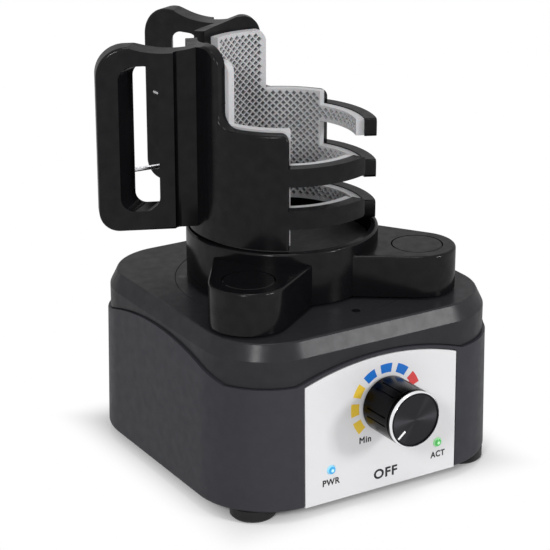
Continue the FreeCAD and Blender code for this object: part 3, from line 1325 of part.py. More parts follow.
def add_idlers():
    """Three idler cranks with a bush in the lid and a bush and cap in the head."""
    for number, name in enumerate(("left", "front", "right")):
        angle = "(first_lobe + lobe_step * %d)" % number
        x = "lobe_reach * cos%s" % angle
        y = "lobe_reach * sin%s" % angle
        bore = "idler_pin + pin_gap"
        pieces.append(turned("pivot_bush_" + name, [
            (bore, "lid_top - bush_length"), ("bush_radius", "lid_top - bush_length"),
            ("bush_radius", "lid_top"), ("bush_flange", "lid_top"),
            ("bush_flange", "lid_top + bush_flange_thickness"),
            (bore, "lid_top + bush_flange_thickness")], x, y))

        idler = turned("idler_crank_" + name, [
            ("0", "idler_lower_end"), ("idler_pin", "idler_lower_end"),
            ("idler_pin", "arm_bottom"), ("idler_arm", "arm_bottom"), ("idler_arm", "arm_top"),
            ("0", "arm_top")], x, y)
        doc.recompute()
        sketch = new_sketch(idler, "XY_Plane", "arm_bottom")
        draw_discs(sketch, [("offset_x", "offset_y", "idler_arm")])
        padded(idler, sketch, "idler_arm_thickness")
        doc.recompute()
        sketch = new_sketch(idler, "XY_Plane", "arm_bottom")
        side_x = "idler_arm * sin(crank_angle)"
        side_y = "idler_arm * cos(crank_angle)"
        draw_outline(sketch, [
            (side_x, "-" + side_y), ("offset_x + " + side_x, "offset_y - " + side_y),
            ("offset_x - " + side_x, "offset_y + " + side_y), ("-" + side_x, side_y)])
        padded(idler, sketch, "idler_arm_thickness")
        doc.recompute()
        sketch = new_sketch(idler, "XY_Plane", "arm_top")
        draw_discs(sketch, [("offset_x", "offset_y", "idler_pin")])
        padded(idler, sketch, "lobe_bush_top - idler_top_gap - arm_top")
        pieces.append(idler)

        upper_x = "%s + offset_x" % x
        upper_y = "%s + offset_y" % y
        pieces.append(bored("lobe_bush_" + name, "lobe_bush_outer", bore,
                            "lobe_bush_top - lobe_bush_length", "lobe_bush_top",
                            upper_x, upper_y))
        cap_low = "lobe_top - lobe_cap_depth"
        pieces.append(turned("lobe_cap_" + name, [
            ("0", cap_low), ("lobe_cap_radius", cap_low),
            ("lobe_cap_radius", "lobe_top - lobe_cap_round"),
            ("lobe_cap_radius - lobe_cap_round", "lobe_top"), ("0", "lobe_top")],
            upper_x, upper_y))


def add_head():
    """Orbiting cup with its bearing, floor pad, hinge pin, spring and two jaws."""
    cup = solid_piece("orbit_cup", make_orbit_cup())
    ride_head(cup)
    pieces.append(cup)

    race = "bearing_outer - bearing_race"
    inner_race = "bearing_inner + bearing_race"
    bearing = turned("main_bearing", [
        ("bearing_inner", "bearing_bottom"), (inner_race, "bearing_bottom"),
        (inner_race, "bearing_bottom + bearing_shield"), (race, "bearing_bottom + bearing_shield"),
        (race, "bearing_bottom"), ("bearing_outer", "bearing_bottom"),
        ("bearing_outer", "bearing_top"), (race, "bearing_top"),
        (race, "bearing_top - bearing_shield"), (inner_race, "bearing_top - bearing_shield"),
        (inner_race, "bearing_top"), ("bearing_inner", "bearing_top")], "offset_x", "offset_y")
    pieces.append(bearing)

    disc = doc.addObject("Part::Cylinder", "pad_disc")
    disc.setExpression("Radius", led("cup_inner - pad_gap"))
    disc.setExpression("Height", led("pad_thickness"))
    notch = doc.addObject("Part::Cylinder", "pad_notch")
    notch.setExpression("Radius", led("hinge_boss_radius + pad_gap"))
    notch.setExpression("Height", led("pad_thickness"))
    notch.setExpression("Placement.Base.x", led("hinge_reach"))
    pad = doc.addObject("Part::Cut", "cup_floor_pad")
    pad.Label = "cup_floor_pad"
    pad.Base = disc
    pad.Tool = notch
    ride_head(pad, "clamp_angle")
    pad.setExpression("Placement.Base.z", led("cup_floor"))
    pieces.append(pad)

    hinge_x = "offset_x + hinge_reach * cos(clamp_angle)"
    hinge_y = "offset_y + hinge_reach * sin(clamp_angle)"
    clip_top = "hinge_boss_bottom - clip_drop"
    waist = "pin_radius - groove_depth"
    pieces.append(turned("hinge_pin", [
        ("0", "pin_bottom"), ("pin_radius", "pin_bottom"),
        ("pin_radius", clip_top + " - clip_thickness"), (waist, clip_top + " - clip_thickness"),
        (waist, clip_top), ("pin_radius", clip_top),
        ("pin_radius", "high_knuckle_top + clip_drop"),
        ("pin_head_radius", "high_knuckle_top + clip_drop"),
        ("pin_head_radius", "high_knuckle_top + clip_drop + pin_head_height"),
        ("0", "high_knuckle_top + clip_drop + pin_head_height")], hinge_x, hinge_y))
    pieces.append(bored("hinge_pin_clip", "clip_radius", waist + " + pin_fit",
                        clip_top + " - clip_thickness", clip_top, hinge_x, hinge_y))

    spring, gap = make_spring()
    print("Least gap of the spring to itself: %.2f mm" % gap)
    pieces.append(solid_piece("torsion_spring", spring))
    ride_head(pieces[-1], "clamp_angle")

    between = value("knuckle_between")
    low = value("jaw_bottom")
    split = value("low_split")
    spring_low = value("coil_bottom - wire_radius - coil_rest")
    spring_high = value("coil_top + wire_radius + coil_ease")
    high_split = value("high_split")
    crest = value("high_knuckle_top")
    near = [(low, split), (high_split, crest)]
    far = [(split + between, spring_low), (spring_high, high_split - between)]
    jaws = (
        ("near", make_jaw(1, near, far), make_liner(1)),
        ("far", mirrored(make_jaw(0, far, near)), mirrored(make_liner(0))),
    )
    for side, jaw, liner in jaws:
        pieces.append(solid_piece(side + "_jaw", jaw))
        ride_head(pieces[-1], "clamp_angle")
        pieces.append(solid_piece(side + "_grip_pad", liner))
        ride_head(pieces[-1], "clamp_angle")


add_base()
add_panel()
add_knob()
add_inlet()
add_drive()
add_crank()
add_idlers()
add_head()
doc.removeObject(workings.Name)
doc.recompute()

for item in doc.Objects:
    if "Invalid" in item.State or "Error" in item.State:
        raise RuntimeError("%s failed to recompute" % item.Label)
for piece in pieces:
    if piece.Shape.isNull() or not piece.Shape.isValid():
        raise RuntimeError("%s has no valid shape" % piece.Label)

os.makedirs("parts", exist_ok=True)
for piece in pieces:
    piece.Shape.exportStep("parts/%s.step" % piece.Label)
print("%d pieces written" % len(pieces))
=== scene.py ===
"""Dresses the nail polish shaker: casings, printed panel, knob, orbiting head and sprung clamp.

Metres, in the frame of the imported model: +Z up, the control panel faces -Y. Every sub-assembly
is a class with its sizes as fields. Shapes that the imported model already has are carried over,
smoothed where they show, and the fine work is modelled here: the lattice of the grip pads, the
wound spring, the printing on the panel and the recesses of the screws.
"""

import json
import logging
import math
from dataclasses import dataclass, field
from enum import Enum
from functools import cache

import bmesh
import bpy
from mathutils import Matrix, Vector

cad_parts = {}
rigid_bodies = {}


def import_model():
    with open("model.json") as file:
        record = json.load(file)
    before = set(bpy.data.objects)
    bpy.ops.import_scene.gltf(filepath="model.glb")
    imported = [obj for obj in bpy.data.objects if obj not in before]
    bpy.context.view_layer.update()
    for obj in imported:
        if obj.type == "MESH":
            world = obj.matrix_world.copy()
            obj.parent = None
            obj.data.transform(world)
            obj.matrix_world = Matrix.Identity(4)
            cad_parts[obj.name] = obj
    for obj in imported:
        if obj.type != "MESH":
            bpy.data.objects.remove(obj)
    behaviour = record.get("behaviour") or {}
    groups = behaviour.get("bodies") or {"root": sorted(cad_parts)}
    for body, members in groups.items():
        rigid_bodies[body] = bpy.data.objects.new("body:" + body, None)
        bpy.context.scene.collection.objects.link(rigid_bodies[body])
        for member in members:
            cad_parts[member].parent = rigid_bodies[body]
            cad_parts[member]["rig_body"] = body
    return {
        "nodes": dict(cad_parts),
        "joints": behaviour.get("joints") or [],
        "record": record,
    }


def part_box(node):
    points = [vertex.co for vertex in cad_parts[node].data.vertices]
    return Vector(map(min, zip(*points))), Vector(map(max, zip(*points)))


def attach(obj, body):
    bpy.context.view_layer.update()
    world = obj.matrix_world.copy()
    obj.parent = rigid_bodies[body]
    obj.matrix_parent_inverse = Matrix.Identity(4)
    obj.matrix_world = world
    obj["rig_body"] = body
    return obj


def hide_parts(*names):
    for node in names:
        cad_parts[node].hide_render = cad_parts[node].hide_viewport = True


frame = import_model()

MM = 0.001
LOG = logging.getLogger("polish_shaker")

# Sockets of the colour mix node, which has one name for several kinds of value.
MIX_FACTOR = 0
MIX_FIRST = 6
MIX_SECOND = 7
MIX_RESULT = 2

# Noise keeps mostly between these two values, so what follows it is spread over them.
NOISE_LOW = 0.3
NOISE_HIGH = 0.7

# Points nearer than the first are one point; edges shorter than the second are dropped.
WELD = 0.001 * MM
SLIVER = 0.0005 * MM

# Letters: curve steps, room between them, and the weld of their outlines in letter units.
LETTER_STEPS = 6
LETTER_SPACING = 1.12
LETTER_WELD = 1e-5

# A letter's corner moves out along its mitre, up to this many times the weight. Where its two
# sides nearly cancel, it stays.
LONGEST_MITRE = 2.0
SHARPEST_TURN = 0.5


class Side(Enum):
    """The clamp's two halves, by the sign of their sideways axis."""

    NEAR = 1
    FAR = -1


def linear(code: str) -> tuple[float, float, float, float]:
    """Turns an sRGB hex colour into linear light.

    Args:
        code: Six hex digits, with or without a leading mark.

    Returns:
        Red, green, blue and a full alpha.
    """
    digits = code.lstrip("#")
    shares = [int(digits[place:place + 2], 16) / 255 for place in (0, 2, 4)]
    light = [s / 12.92 if s <= 0.04045 else ((s + 0.055) / 1.055) ** 2.4 for s in shares]
    return (light[0], light[1], light[2], 1.0)


def add_node(tree: bpy.types.NodeTree, kind: str, settings: dict | None = None,
             links: dict | None = None) -> bpy.types.Node:
    """Adds one shader node with its settings and links.

    Args:
        tree: Tree that the node joins.
        kind: Node class.
        settings: Values by name; a name in small letters is a property, any other an input.
        links: Source sockets by input name.

    Returns:
        The new node.
    """
    node = tree.nodes.new(kind)
    for name, setting in (settings or {}).items():
        if isinstance(name, str) and name.islower():
            setattr(node, name, setting)
        else:
            node.inputs[name].default_value = setting
    for name, source in (links or {}).items():
        tree.links.new(source, node.inputs[name])
    return node


@dataclass
class Surface:
    """A material under construction: its tree, its shader and the place on the object."""

    name: str
    settings: dict
    material: bpy.types.Material = field(init=False)
    tree: bpy.types.NodeTree = field(init=False)
    shader: bpy.types.Node = field(init=False)
    place: bpy.types.NodeSocket = field(init=False)

    def __post_init__(self) -> None:
        """Starts the tree with a principled shader and object coordinates."""
        self.material = bpy.data.materials.new(self.name)
        self.material.use_nodes = True
        self.tree = self.material.node_tree
        self.tree.nodes.clear()
        self.shader = add_node(self.tree, "ShaderNodeBsdfPrincipled", self.settings)
        add_node(self.tree, "ShaderNodeOutputMaterial", links={"Surface": self.shader.outputs[0]})
        self.place = add_node(self.tree, "ShaderNodeTexCoord").outputs["Object"]

    def noise(self, size_mm: float, detail: float = 2.0,
              stretch: tuple[float, float, float] | None = None) -> bpy.types.NodeSocket:
        """Adds noise whose features are about one size across.

        Args:
            size_mm: Feature size in millimetres.
            detail: Octaves.
            stretch: Scale of the three axes before the noise is read.

        Returns:
            The noise's factor.
        """
        source = self.place
        if stretch:
            source = add_node(self.tree, "ShaderNodeMapping", {"Scale": stretch},
                              {"Vector": source}).outputs[0]
        return add_node(self.tree, "ShaderNodeTexNoise",
                        {"Scale": 1 / (size_mm * MM), "Detail": detail},
                        {"Vector": source}).outputs["Fac"]

    def tint(self, factor: bpy.types.NodeSocket, first: str, second: str) -> None:
        """Colours the surface between two colours.

        Args:
            factor: Share of the second colour.
            first: Hex colour at no share.
            second: Hex colour at full share.
        """
        mix = add_node(self.tree, "ShaderNodeMix", {
            "data_type": "RGBA", MIX_FIRST: linear(first), MIX_SECOND: linear(second)},
            {MIX_FACTOR: factor})
        self.tree.links.new(mix.outputs[MIX_RESULT], self.shader.inputs["Base Color"])

    def spread(self, factor: bpy.types.NodeSocket, low: float, high: float,
               target: str = "Roughness") -> None:
        """Lets noise drive one input of the shader between two values.

        Args:
            factor: The noise.
            low: Value at the noise's low end.
            high: Value at its high end.
            target: Name of the input.
        """
        range_node = add_node(self.tree, "ShaderNodeMapRange", {
            "From Min": NOISE_LOW, "From Max": NOISE_HIGH, "To Min": low, "To Max": high},
            {"Value": factor})
        self.tree.links.new(range_node.outputs[0], self.shader.inputs[target])

    def relief(self, height: bpy.types.NodeSocket, depth_mm: float) -> None:
        """Raises a bump of a real depth.

        Args:
            height: Height as a share of the depth.
            depth_mm: Depth in millimetres.
        """
        bump = add_node(self.tree, "ShaderNodeBump", {"Distance": depth_mm * MM, "Strength": 1.0},
                        {"Height": height})
        self.tree.links.new(bump.outputs[0], self.shader.inputs["Normal"])


@dataclass(frozen=True)
class MouldedPlastic:
    """ABS or nylon from a spark-eroded mould: a deep colour under a thin satin skin.

    The mould's grain is finer than the picture shows, so it is drawn coarser here.
    """

    name: str
    colour: str
    lighter: str
    roughness: float
    gloss: float = 0.25
    grain_mm: float = 0.25
    grain_depth_mm: float = 0.006
    cloud_mm: float = 14.0
    patch_mm: float = 3.5
    patchiness: float = 0.15
    under_roughness: float = 0.6
    ior: float = 1.5

    def build(self) -> bpy.types.Material:
        """Makes the material.

        Returns:
            The finished material.
        """
        made = Surface(self.name, {
            "Roughness": self.under_roughness, "Specular IOR Level": 0.0,
            "Coat Weight": self.gloss, "Coat Roughness": self.roughness, "Coat IOR": self.ior})
        made.tint(made.noise(self.cloud_mm), self.colour, self.lighter)
        made.spread(made.noise(self.patch_mm), self.gloss * (1 - self.patchiness),
                    self.gloss * (1 + self.patchiness), "Coat Weight")
        made.relief(made.noise(self.grain_mm, detail=1.0), self.grain_depth_mm)
        return made.material


@dataclass(frozen=True)
class SoftMoulding:
    """Silicone or rubber: dull, slightly deep to the light, with a powdery bloom."""

    name: str
    colour: str
    lighter: str
    roughness: float
    depth: float = 0.0
    depth_mm: float = 1.2
    bloom: float = 0.08
    bloom_roughness: float = 0.5
    ior: float = 1.42
    gloss: float = 0.35
    cloud_mm: float = 6.0
    patch_mm: float = 2.5
    grain_mm: float = 0.35
    grain_depth_mm: float = 0.008
    smoother: float = 0.05
    rougher: float = 0.08

    def build(self) -> bpy.types.Material:
        """Makes the material.

        Returns:
            The finished material.
        """
        made = Surface(self.name, {
            "IOR": self.ior, "Subsurface Weight": self.depth,
            "Subsurface Scale": self.depth_mm * MM, "Sheen Weight": self.bloom,
            "Sheen Roughness": self.bloom_roughness, "Specular IOR Level": self.gloss})
        made.tint(made.noise(self.cloud_mm), self.colour, self.lighter)
        made.spread(made.noise(self.patch_mm), self.roughness - self.smoother,
                    self.roughness + self.rougher)
        made.relief(made.noise(self.grain_mm, detail=1.0), self.grain_depth_mm)
        return made.material


@dataclass(frozen=True)
class MachinedMetal:
    """Plated or bare metal whose tool or rolling marks run level, round its upright axis.

    The marks are finer than the picture shows, so they are drawn coarser here.
    """

    name: str
    colour: str
    roughness: float
    mark_mm: float = 0.12
    mark_depth_mm: float = 0.002
    drag: float = 0.04
    smoother: float = 0.06
    rougher: float = 0.08

    def build(self) -> bpy.types.Material:
        """Makes the material.

        Returns:
            The finished material.
        """
        made = Surface(self.name, {"Metallic": 1.0, "Base Color": linear(self.colour)})
        marks = made.noise(self.mark_mm, stretch=(self.drag, self.drag, 1.0))
        made.spread(marks, self.roughness - self.smoother, self.roughness + self.rougher)
        made.relief(marks, self.mark_depth_mm)
        return made.material


@dataclass(frozen=True)
class SpunMetal:
    """Spun anodised aluminium: fine rings round one axis stretch its highlight to a fan.

    Outside cut_radius the anodising is cut away, which leaves a bright line.
    """

    name: str
    colour: str
    roughness: float
    centre: tuple[float, float, float]
    axis: tuple[float, float, float]
    anisotropy: float = 0.85
    ring_mm: float = 0.3
    ring_depth_mm: float = 0.0015
    cut_radius: float = 0.0
    cut_colour: str = "#E9E9EB"
    smoother: float = 0.04
    rougher: float = 0.06

    def build(self) -> bpy.types.Material:
        """Makes the material with a tangent that runs round the axis.

        Returns:
            The finished material.
        """
        made = Surface(self.name, {
            "Metallic": 1.0, "Base Color": linear(self.colour), "Anisotropic": self.anisotropy})
        tree = made.tree
        arm = add_node(tree, "ShaderNodeVectorMath",
                       {"operation": "SUBTRACT", 1: self.centre}, {0: made.place}).outputs[0]
        round_way = add_node(tree, "ShaderNodeVectorMath",
                             {"operation": "CROSS_PRODUCT", 0: self.axis}, {1: arm}).outputs[0]
        tangent = add_node(tree, "ShaderNodeVectorMath",
                           {"operation": "NORMALIZE"}, {0: round_way}).outputs[0]
        tree.links.new(tangent, made.shader.inputs["Tangent"])
        reach = add_node(tree, "ShaderNodeVectorMath",
                         {"operation": "LENGTH"}, {0: round_way}).outputs["Value"]
        rings = add_node(tree, "ShaderNodeTexNoise",
                         {"noise_dimensions": "1D", "Scale": 1 / (self.ring_mm * MM),
                          "Detail": 2.0}, {"W": reach}).outputs["Fac"]
        made.spread(rings, self.roughness - self.smoother, self.roughness + self.rougher)
        made.relief(rings, self.ring_depth_mm)
        if self.cut_radius:
            outside = add_node(tree, "ShaderNodeMath", {
                "operation": "GREATER_THAN", 1: self.cut_radius}, {0: reach})
            made.tint(outside.outputs[0], self.colour, self.cut_colour)
        return made.material


@dataclass(frozen=True)
class SinteredBronze:
    """Oil-filled sintered bronze: a warm dull metal, pitted by its open pores."""

    name: str
    colour: str = "#A8743A"
    pore_colour: str = "#5E3E1C"
    roughness: float = 0.3
    pore_roughness: float = 0.55
    pore_mm: float = 0.3
    pore_depth_mm: float = 0.02

    def build(self) -> bpy.types.Material:
        """Makes the material.

        Returns:
            The finished material.
        """
        made = Surface(self.name, {"Metallic": 1.0})
        pores = made.noise(self.pore_mm, detail=3.0)
        made.tint(pores, self.pore_colour, self.colour)
        made.spread(pores, self.pore_roughness, self.roughness)
        made.relief(pores, self.pore_depth_mm)
        return made.material


@dataclass(frozen=True)
class PrintedSheet:
    """Screen-printed polycarbonate overlay: a smooth satin film with a faint orange peel."""

    name: str
    colour: str
    lighter: str
    roughness: float = 0.38
    ior: float = 1.58
    gloss: float = 0.4
    cloud_mm: float = 20.0
    patch_mm: float = 5.0
    peel_mm: float = 1.1
    peel_depth_mm: float = 0.004
    smoother: float = 0.04
    rougher: float = 0.05

    def build(self) -> bpy.types.Material:
        """Makes the material.

        Returns:
            The finished material.
        """
        made = Surface(self.name, {"IOR": self.ior, "Specular IOR Level": self.gloss})
        made.tint(made.noise(self.cloud_mm), self.colour, self.lighter)
        made.spread(made.noise(self.patch_mm), self.roughness - self.smoother,
                    self.roughness + self.rougher)
        made.relief(made.noise(self.peel_mm, detail=1.0), self.peel_depth_mm)
        return made.material


@dataclass(frozen=True)
class Ink:
    """Screen-printed ink: flat, dense, with the fine tooth of the mesh it came through."""

    name: str
    colour: str
    lighter: str
    ior: float = 1.5
    gloss: float = 0.3
    cloud_mm: float = 1.6
    patch_mm: float = 0.5
    smoothest: float = 0.45
    roughest: float = 0.6
    tooth_mm: float = 0.12
    tooth_depth_mm: float = 0.003

    def build(self) -> bpy.types.Material:
        """Makes the material.

        Returns:
            The finished material.
        """
        made = Surface(self.name, {"IOR": self.ior, "Specular IOR Level": self.gloss})
        made.tint(made.noise(self.cloud_mm), self.colour, self.lighter)
        made.spread(made.noise(self.patch_mm), self.smoothest, self.roughest)
        made.relief(made.noise(self.tooth_mm, detail=0.0), self.tooth_depth_mm)
        return made.material


@dataclass(frozen=True)
class LitLens:
    """Tinted epoxy lamp, lit from inside: a bright crown, a deeper ring and a pale flange."""

    name: str
    core: str
    ring: str
    rim: str
    strength: float
    centre: tuple[float, float, float]
    reach_mm: float = 1.7
    crown_to: float = 0.16
    ring_from: float = 0.4
    ring_to: float = 0.68
    rim_from: float = 0.88
    ior: float = 1.54
    roughness: float = 0.12
    skin: float = 0.1
    skin_roughness: float = 0.1

    def build(self) -> bpy.types.Material:
        """Makes the material.

        Returns:
            The finished material.
        """
        made = Surface(self.name, {
            "IOR": self.ior, "Roughness": self.roughness, "Emission Strength": self.strength,
            "Coat Weight": self.skin, "Coat Roughness": self.skin_roughness})
        arm = add_node(made.tree, "ShaderNodeVectorMath",
                       {"operation": "DISTANCE", 1: self.centre}, {0: made.place})
        share = add_node(made.tree, "ShaderNodeMapRange", {
            "From Max": self.reach_mm * MM}, {"Value": arm.outputs["Value"]}).outputs[0]
        glow = add_node(made.tree, "ShaderNodeValToRGB", links={0: share})
        stops = glow.color_ramp.elements
        for place, code in ((self.crown_to, self.core), (self.ring_from, self.ring),
                            (self.ring_to, self.ring)):
            stops.new(place).color = linear(code)
        stops[0].color = linear(self.core)
        stops[-1].position = self.rim_from
        stops[-1].color = linear(self.rim)
        for target in ("Base Color", "Emission Color"):
            made.tree.links.new(glow.outputs[0], made.shader.inputs[target])
        return made.material


@dataclass(frozen=True)
class Laminate:
    """Glass-epoxy board under green solder mask, with copper runs that show through."""

    name: str
    mask: str = "#0E5A2B"
    mask_dark: str = "#0B4A23"
    run: str = "#1F7A3E"
    ior: float = 1.55
    roughness: float = 0.3
    pad_mm: float = 5.08
    run_share: float = 0.03
    run_depth_mm: float = 0.03

    def build(self) -> bpy.types.Material:
        """Makes the material.

        Returns:
            The finished material.
        """
        made = Surface(self.name, {"IOR": self.ior, "Roughness": self.roughness})
        runs = add_node(made.tree, "ShaderNodeTexBrick", {
            "Scale": 1 / (self.pad_mm * MM), "Color1": linear(self.mask),
            "Color2": linear(self.mask_dark), "Mortar": linear(self.run),
            "Mortar Size": self.run_share}, {"Vector": made.place})
        made.tree.links.new(runs.outputs["Color"], made.shader.inputs["Base Color"])
        made.relief(runs.outputs["Fac"], self.run_depth_mm)
        return made.material


Finish = (MouldedPlastic | SoftMoulding | MachinedMetal | SpunMetal | SinteredBronze
          | PrintedSheet | Ink | LitLens | Laminate)


@cache
def material_of(finish: Finish) -> bpy.types.Material:
    """Builds each finish once."""
    return finish.build()


# Spark-eroded ABS of the base: charcoal and satin, with a soft broad light along its edges.
CASING = MouldedPlastic("charcoal_moulded_abs", "#35353A", "#38383D",
                        roughness=0.3, gloss=0.26)
# The lid and the plate under the head: the same ABS, painted darker as the shade its upward faces
# show, a little glossier.
SHADED_TOP_ABS = MouldedPlastic("dark_moulded_abs", "#28282B", "#2B2B2E", roughness=0.28, gloss=0.3)
# Polished-mould nylon of the head and jaws: nearly black, with narrow bright edges.
HEAD = MouldedPlastic("black_moulded_nylon", "#0E0E10", "#111113", roughness=0.17, gloss=0.3,
                      grain_mm=0.2, grain_depth_mm=0.002)
# Coarse-textured ABS under the base: dull, with hardly any light on it.
COVER = MouldedPlastic("matt_moulded_abs", "#141415", "#19191A", roughness=0.55, gloss=0.2)
# Glass-filled nylon of small fittings: black, between dull and satin.
SMALL_BLACK = MouldedPlastic("black_filled_nylon", "#111112", "#161617",
                             roughness=0.35, gloss=0.2)
# Moulded silicone of the grip pads: pale grey, soft to the light, with a powdery bloom.
GRIP = SoftMoulding("grey_moulded_silicone", "#BFBFC1", "#C9C9CB", roughness=0.55, depth=0.12)
# The same silicone on the floors of its pits, painted darker as the shade that falls in them, and
# duller.
PIT_SHADE = SoftMoulding("dusty_moulded_silicone", "#6E6E70", "#767678", roughness=0.7)
# Moulded rubber of the feet and the floor of the cup: black, without shine.
RUBBER = SoftMoulding("black_moulded_rubber", "#0F0F10", "#171718", roughness=0.7)
# Drawn spring wire: bright, with a narrow streak of light along it.
WIRE = MachinedMetal("drawn_spring_wire", "#C9C9CC", roughness=0.22, mark_mm=0.1)
# Ground steel of pins, shafts and bearing rings: a clean, cool mirror with fine grinding.
GROUND = MachinedMetal("ground_steel", "#BDBEC2", roughness=0.2)
# Zinc-plated steel: cooler and duller, slightly mottled by the plating.
ZINC = MachinedMetal("zinc_plated_steel", "#B4B8BC", roughness=0.32, mark_mm=0.4,
                     mark_depth_mm=0.004)
# Nickel-plated steel: a smooth, warmer white metal.
NICKEL = MachinedMetal("nickel_plated_steel", "#C2BEB6", roughness=0.22)
# Turned aluminium: pale, with the rings of the lathe's tool round it.
TURNED = MachinedMetal("turned_aluminium", "#D0D1D4", roughness=0.28, mark_mm=0.15,
                       mark_depth_mm=0.003)
# Black oxide on steel: a dark screw that hardly shows on the plate.
OXIDE = MachinedMetal("black_oxide_steel", "#2A2A2C", roughness=0.4, mark_mm=0.4,
                      mark_depth_mm=0.003)
# Sintered bronze of the bushes: warm and dull, freckled by its open pores.
BRONZE = SinteredBronze("sintered_bronze")
# Printed polycarbonate film of the panel: pale, smooth and satin, with a faint orange peel.
OVERLAY = PrintedSheet("pale_printed_polycarbonate", "#D9D8DA", "#DEDDDF")
# Enamel in the knob's pointer groove: an even, flat white line.
POINTER = Ink("white_filled_enamel", "#E9E9E9", "#F2F2F2")
# Screen-printed inks of the panel: flat and dense, dark for words and bright for the dial.
INK_DARK = Ink("dark_grey_printed_ink", "#151517", "#1D1D20")
INK_YELLOW = Ink("yellow_printed_ink", "#E0BC38", "#E5C243")
INK_BLUE = Ink("blue_printed_ink", "#1068BE", "#166EC5")
INK_RED = Ink("red_printed_ink", "#CF3F3F", "#D44848")
# Glass-epoxy laminate of the board: green and glossy, over lighter lines of copper.
BOARD = Laminate("masked_glass_epoxy")


def slot_of(node: str) -> str:
    """Gives the record's material slot of a node."""
    rows = frame["record"]["subparts"]
    return next(row["material_slot"] for row in rows if row["node"] == node)


def joint_point(name: str) -> Vector:
    """Gives the point of a joint's axis in metres."""
    return Vector(next(joint for joint in frame["joints"] if joint["name"] == name)["pos_m"])


def dress(node: str, finish: Finish) -> None:
    """Gives a carried-over node its finish.

    Args:
        node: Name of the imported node.
        finish: Its finish.
    """
    item = frame["nodes"][node]
    item.data.materials.clear()
    item.data.materials.append(material_of(finish))
    LOG.info("%s carried over in %s", node, finish.name)


def merged(node: str, flat_degrees: float = 0.4) -> bmesh.types.BMesh:
    """Copies a node's mesh with its triangles joined and its flat faces made whole.

    Args:
        node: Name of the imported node.
        flat_degrees: Neighbours flatter to each other than this become one face.

    Returns:
        The shape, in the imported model's frame.
    """
    shape = bmesh.new()
    shape.from_mesh(frame["nodes"][node].data)
    bmesh.ops.remove_doubles(shape, verts=shape.verts, dist=WELD)
    bmesh.ops.dissolve_degenerate(shape, edges=shape.edges, dist=SLIVER)
    bmesh.ops.dissolve_limit(shape, angle_limit=math.radians(flat_degrees),
                             verts=shape.verts, edges=shape.edges)
    return shape


@dataclass
class Piece:
    """A finished object: its name, the body it rides on, its slot and what it stands for.

    Edges that turn further than the crease are sharp. The second finish, where there is one, is
    for faces that carry material index 1.
    """

    name: str
    body: str
    slot: str
    finish: Finish
    stands_for: tuple[str, ...] = ()
    crease_degrees: float = 30.0
    second: Finish | None = None

    def finished(self, shape: bmesh.types.BMesh, even: bool = False) -> bpy.types.Object:
        """Makes the object from its shape and hangs it on its body.

        Args:
            shape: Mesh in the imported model's frame; it is freed here.
            even: Weighs each normal by its faces' areas, for moulded shells.

        Returns:
            The finished object.
        """
        crease = math.radians(self.crease_degrees)
        shape.normal_update()
        for part in shape.faces:
            part.smooth = True
        for edge in shape.edges:
            edge.smooth = edge.calc_face_angle(math.pi) < crease
        mesh = bpy.data.meshes.new(self.name)
        shape.to_mesh(mesh)
        shape.free()
        mesh.materials.append(material_of(self.finish))
        if self.second:
            mesh.materials.append(material_of(self.second))
        item = bpy.data.objects.new(self.name, mesh)
        bpy.context.scene.collection.objects.link(item)
        if even:
            weigh = item.modifiers.new("even_normals", "WEIGHTED_NORMAL")
            weigh.keep_sharp = True
        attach(item, self.body)
        if self.stands_for:
            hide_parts(*self.stands_for)
        LOG.info("%s on %s, %d faces", self.name, self.body, len(mesh.polygons))
        return item


def smoothed(node: str, finish: Finish, suffix: str = "skin") -> bpy.types.Object:
    """Stands a smooth-shaded copy in place of a node whose shape is already right.

    Args:
        node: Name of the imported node.
        finish: Its finish.
        suffix: What the copy's name adds to the node's.

    Returns:
        The finished copy.
    """
    body = frame["nodes"][node]["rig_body"]
    piece = Piece(f"{node}_{suffix}", body, slot_of(node), finish, (node,))
    return piece.finished(merged(node), even=True)


def carve(target: bpy.types.Object, cutter: bmesh.types.BMesh) -> None:
    """Cuts a closed shape out of a finished piece and keeps the result as its mesh.

    Args:
        target: The piece.
        cutter: The closed shape; it is freed here.
    """
    mesh = bpy.data.meshes.new("cutter")
    cutter.to_mesh(mesh)
    cutter.free()
    tool = bpy.data.objects.new("cutter", mesh)
    bpy.context.scene.collection.objects.link(tool)
    cut = target.modifiers.new("cut", "BOOLEAN")
    cut.operation = "DIFFERENCE"
    cut.solver = "EXACT"
    cut.object = tool
    bpy.context.view_layer.update()
    graph = bpy.context.evaluated_depsgraph_get()
    result = bpy.data.meshes.new_from_object(target.evaluated_get(graph), depsgraph=graph)
    target.modifiers.remove(cut)
    target.data = result
    bpy.data.objects.remove(tool)
    bpy.data.meshes.remove(mesh)


